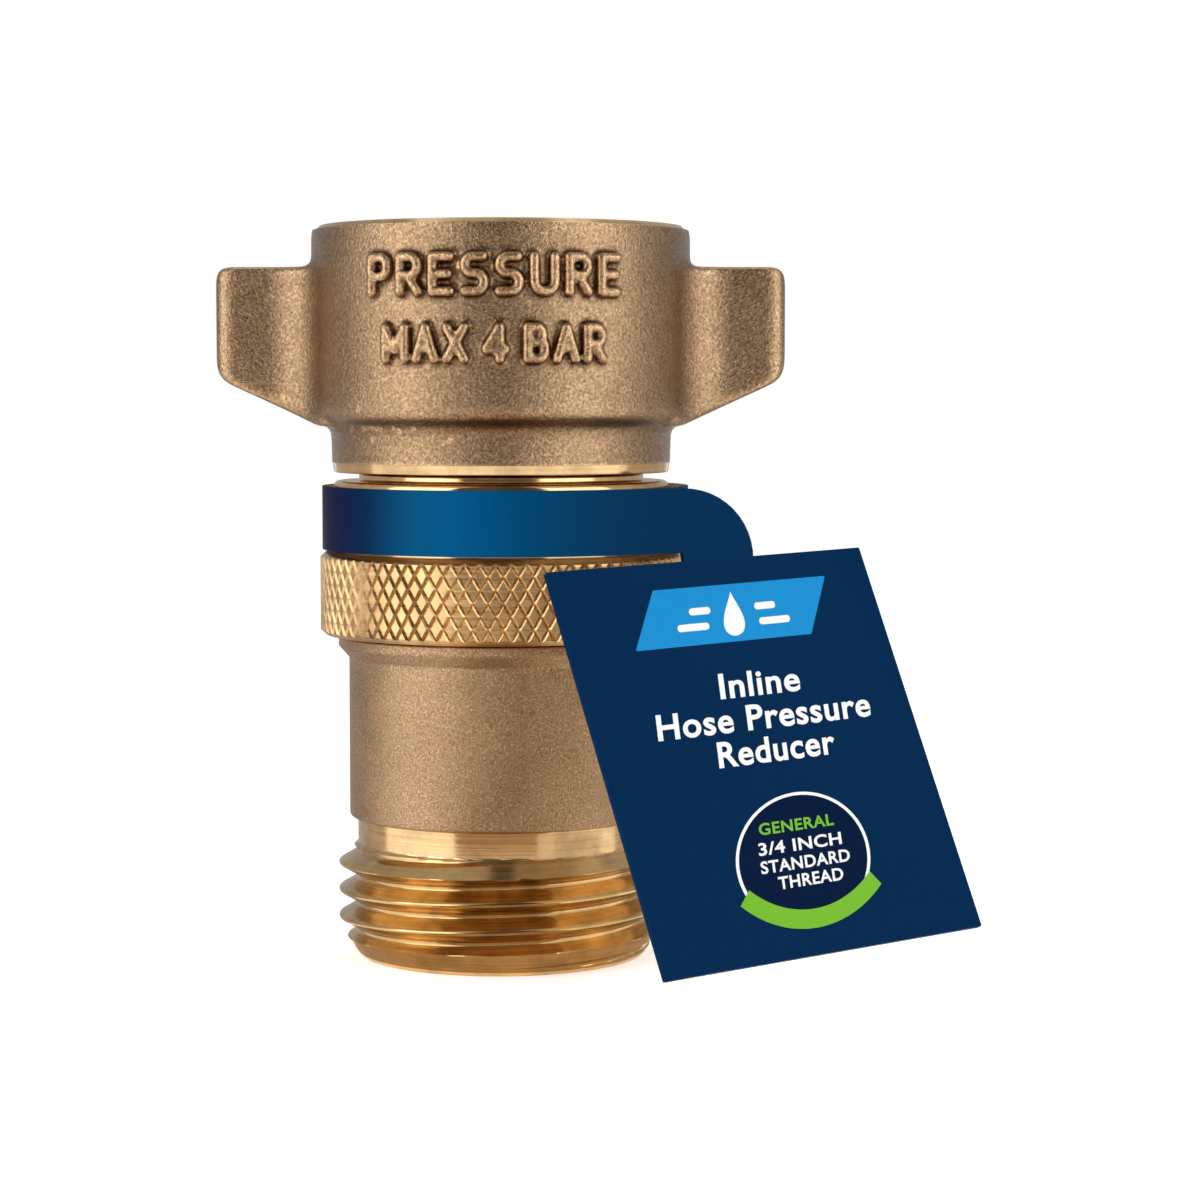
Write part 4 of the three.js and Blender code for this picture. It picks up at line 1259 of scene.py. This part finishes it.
    def print_card(self, words):
        """The artwork: a panel with a drop, three lines of words and a round badge."""
        self.ink("print_panel", self.shape([
            (0.78, -7.1, 0.1), (18.2, -7.1, 0.1), (21.42, -2.24, 0.1), (4.08, -2.24, 0.1)]), "sky")
        panel = (11.1, -4.75)
        self.ink("print_drop", self.slanted(self.drop(1.5), *panel), "white", 2)
        for side in (-1, 1):
            for k, (start, end) in enumerate(((2.5, 5.6), (2.2, 4.3))):
                low = -1.15 + k * 1.3
                bar = self.shape([(side * start, low, 0.28), (side * end, low, 0.28),
                                  (side * end, low + 0.6, 0.28), (side * start, low + 0.6, 0.28)])
                self.ink(f"print_bar_{side + 1}_{k}", self.slanted(bar, *panel), "white", 2)
        x, y, wide, tall = 10.6, -25.4, 6.6, 5.4
        lines = [
            (words.first, 11.4, -11.75, 8.0, 2.1, "white", 1),
            (words.second, 11.0, -14.55, 21.2, 2.1, "white", 1),
            (words.third, 11.1, -17.3, 11.6, 2.1, "white", 1),
            (words.badge_first, x + 0.2, y + 2.35, 7.4, 0.95, "green", 2),
            (words.badge_second, x, y + 0.75, 8.2, 1.0, "white", 2),
            (words.badge_third, x, y - 0.7, 8.8, 1.0, "white", 2),
            (words.badge_fourth, x, y - 2.1, 6.4, 1.0, "white", 2)]
        for k, (text, along, up, width, height, ink, layer) in enumerate(lines):
            bm = drawn_words(text, width, height, 0.09)
            for v in bm.verts:
                v.co.z *= FILM * layer
            obj = to_object(f"print_words_{k}", self.placed(
                self.slanted(bm, along, up), depth=self.board))
            finish_piece(obj, "tag", [], [finish(ink)])
        for name, outer, inner, ink, layer in (
                ("ground", 1.0, 0.0, "deep", 1), ("ring", 1.0, 0.955, "white", 2)):
            bm = self.disc(0, 0, outer, inner)
            bmesh.ops.scale(bm, vec=(wide, tall, 1), verts=bm.verts)
            self.ink(f"print_badge_{name}", self.slanted(bm, x, y), ink, layer)
        ribbon = self.disc(0.3, 5.1, 10.6, 9.1, math.radians(229), math.radians(311), 40)
        self.ink("print_badge_ribbon", self.slanted(ribbon, x, y), "green", 3)


# ---------------------------------------------------------------- studio

class REGULATOR_OT_studio(bpy.types.Operator):
    """Lit white floor, three soft boxes, glowing sheets on the floor that only the metal mirrors (painted
    reflections), the world, the camera.
    """

    bl_idname = "regulator.studio"
    bl_label = "Studio"

    lens: FloatProperty(name="Lens", description="Focal length, in mm", default=92.85)
    softbox_light: FloatProperty(name="Soft boxes", description="Radiance of each soft box", default=2.1)
    world_light: FloatProperty(name="World", description="Strength of the surrounding white", default=0.62)
    floor_light: FloatProperty(name="Floor", description="Light from under the floor", default=0.54)
    # tints of the glowing sheets that only the metal mirrors: painted reflections in front of and behind the
    # regulator
    front_reflection_tint: colour_property("Front painted reflection", "What the brass mirrors in front of it", (0.42, 0.3, 0.2))
    back_reflection_tint: colour_property("Back painted reflection", "What the brass mirrors behind it", (0.5, 0.46, 0.42))

    def softbox(self, name, azimuth, half_width, height, centre_z, distance, radiance):
        """A rectangular light in metres, at an azimuth in degrees off the camera's side."""
        width = 2 * distance * math.tan(math.radians(half_width))
        data = bpy.data.lights.new(name, "AREA")
        data.shape = "RECTANGLE"
        data.size = width
        data.size_y = height
        data.energy = radiance * width * height * math.pi
        lamp = bpy.data.objects.new(name, data)
        bpy.context.scene.collection.objects.link(lamp)
        a = math.radians(azimuth)
        lamp.location = AXIS + Vector((math.sin(a) * distance, -math.cos(a) * distance, centre_z))
        aim = AXIS + Vector((0, 0, 0.03)) - lamp.location
        lamp.rotation_euler = aim.to_track_quat("-Z", "Y").to_euler()
        return lamp

    def cloth(self, name, reaches, sector, tint):
        """A glowing sheet on the floor, round the regulator, that shows only in what the metal mirrors: a
        painted reflection, seen by no camera, diffuse or shadow ray.
        """
        angles = np.radians(np.linspace(*sector, 25))
        parts = [from_grid([[(r * math.cos(a), r * math.sin(a), 0.3) for r in reach] for a in angles],
                           False, False) for reach in reaches]
        spread = to_object(name, merged(*parts))
        reflected_glow = new_material(name, **{
            "Base Color": (0, 0, 0, 1), "Specular IOR Level": 0.0,
            "Emission Color": (*tint, 1), "Emission Strength": 1.0})[0]
        spread.data.materials.append(reflected_glow)
        for kind in ("camera", "diffuse", "shadow", "transmission", "volume_scatter"):
            setattr(spread, "visible_" + kind, False)

    def execute(self, context):
        scene = context.scene
        scene.view_settings.view_transform = "Standard"
        scene.view_settings.look = "None"

        target = AXIS + Vector((8.1, 0, 29.11)) * MM
        camera_data = bpy.data.cameras.new("camera")
        camera_data.lens = self.lens
        camera_data.sensor_width = 36
        camera_data.clip_start = 0.01
        camera = bpy.data.objects.new("camera", camera_data)
        scene.collection.objects.link(camera)
        camera.location = AXIS + Vector((8.1, -254.4, 46.46)) * MM
        camera.rotation_euler = (target - camera.location).to_track_quat("-Z", "Y").to_euler()
        scene.camera = camera

        bm = bmesh.new()
        bmesh.ops.create_circle(bm, cap_ends=True, radius=620, segments=96)
        floor = to_object("floor", bm)
        floor.location.z = -0.00002
        pale = new_material("floor_lit_acrylic", **{
            "Roughness": 0.9, "Base Color": rgba(linear("#FCFCFB")),
            "Emission Color": (1, 1, 1, 1), "Emission Strength": self.floor_light})[0]
        floor.data.materials.append(pale)

        # sectors in degrees from +X; the camera looks from -90
        front = (-90 - 32, -90 + 32)
        behind = (90 - 85, 90 + 85)
        # painted reflections: dark glowing sheets in front and underneath, a grey one behind, seen only by
        # the metal
        self.cloth("painted_reflection_front_dark", [(15, 91), (190, 450)], front, self.front_reflection_tint)
        self.cloth("painted_reflection_under_dark", [(6, 15)], (-175, -5), tuple(1.25 * c for c in self.front_reflection_tint))
        self.cloth("painted_reflection_behind_grey", [(15, 450)], behind, self.back_reflection_tint)

        self.softbox("softbox_left", -56, 24, 0.5, 0.12, 0.45, self.softbox_light)
        self.softbox("softbox_right", 56, 24, 0.5, 0.12, 0.45, self.softbox_light * 0.9)
        self.softbox("softbox_top", 180, 40, 0.3, 0.5, 0.25, 0.8)

        world = bpy.data.worlds.new("studio_white")
        scene.world = world
        world.use_nodes = True
        tree = world.node_tree
        tree.nodes.clear()
        place = node(tree, "ShaderNodeTexCoord")
        parts = node(tree, "ShaderNodeSeparateXYZ", {"Vector": place.outputs["Generated"]})
        around = node(tree, "ShaderNodeMath", {0: parts.outputs["X"], 1: parts.outputs["Y"]},
                      operation="ARCTAN2")
        off_front = node(tree, "ShaderNodeMath", {0: around.outputs[0]}, operation="ABSOLUTE")
        # the sky's dark sector on the camera's side, 32 degrees to each side with a soft edge
        soft = node(tree, "ShaderNodeMapRange", {
            "Value": off_front.outputs[0], "From Min": math.radians(148 - 3),
            "From Max": math.radians(148 + 3), "To Min": 1.0, "To Max": 0.16})
        rear = node(tree, "ShaderNodeMapRange", {
            "Value": off_front.outputs[0], "From Min": math.radians(70), "From Max": math.radians(90),
            "To Min": 0.7, "To Max": 1.0})
        both = node(tree, "ShaderNodeMath", {0: soft.outputs[0], 1: rear.outputs[0]}, operation="MULTIPLY")
        glow = node(tree, "ShaderNodeMath", {0: both.outputs[0], 1: self.world_light}, operation="MULTIPLY")
        seen = node(tree, "ShaderNodeLightPath")
        light = node(tree, "ShaderNodeBackground", {"Color": (1, 1, 1, 1), "Strength": glow.outputs[0]})
        plain = node(tree, "ShaderNodeBackground", {"Color": (1, 1, 1, 1), "Strength": 1.0})
        either = node(tree, "ShaderNodeMixShader", {
            0: seen.outputs["Is Camera Ray"], 1: light.outputs[0], 2: plain.outputs[0]})
        node(tree, "ShaderNodeOutputWorld", {"Surface": either.outputs[0]})
        return {"FINISHED"}


# ---------------------------------------------------------------- panel and registration

OPERATORS = (
    REGULATOR_OT_studio,
    REGULATOR_OT_outlet_body,
    REGULATOR_OT_inlet_bonnet,
    REGULATOR_OT_swivel_nut,
    REGULATOR_OT_inlet_fittings,
    REGULATOR_OT_seat,
    REGULATOR_OT_piston,
    REGULATOR_OT_spring,
    REGULATOR_OT_hang_tag,
)


class REGULATOR_PT_panel(bpy.types.Panel):
    """Lists the regulator's operators and sizes."""

    bl_idname = "REGULATOR_PT_panel"
    bl_label = "Pressure regulator"
    bl_space_type = "VIEW_3D"
    bl_region_type = "UI"
    bl_category = "Regulator"

    def draw(self, context):
        for operator in OPERATORS:
            self.layout.operator(operator.bl_idname)
        for group in (context.scene.regulator_castings, context.scene.regulator_collar,
                      context.scene.regulator_words, context.scene.regulator_colours):
            for name in group.__annotations__:
                self.layout.prop(group, name)


GROUPS = {
    "regulator_castings": CastingSizes,
    "regulator_collar": CollarSizes,
    "regulator_words": TagWords,
    "regulator_colours": FinishColours,
}


def register():
    for group in GROUPS.values():
        bpy.utils.register_class(group)
    for name, group in GROUPS.items():
        setattr(bpy.types.Scene, name, PointerProperty(type=group))
    for operator in OPERATORS:
        bpy.utils.register_class(operator)
    bpy.utils.register_class(REGULATOR_PT_panel)


def unregister():
    bpy.utils.unregister_class(REGULATOR_PT_panel)
    for operator in reversed(OPERATORS):
        bpy.utils.unregister_class(operator)
    for name, group in GROUPS.items():
        delattr(bpy.types.Scene, name)
        bpy.utils.unregister_class(group)


def main():
    register()
    for operator in OPERATORS:
        module, name = operator.bl_idname.split(".")
        getattr(getattr(bpy.ops, module), name)()


if __name__ == "__main__":
    main()
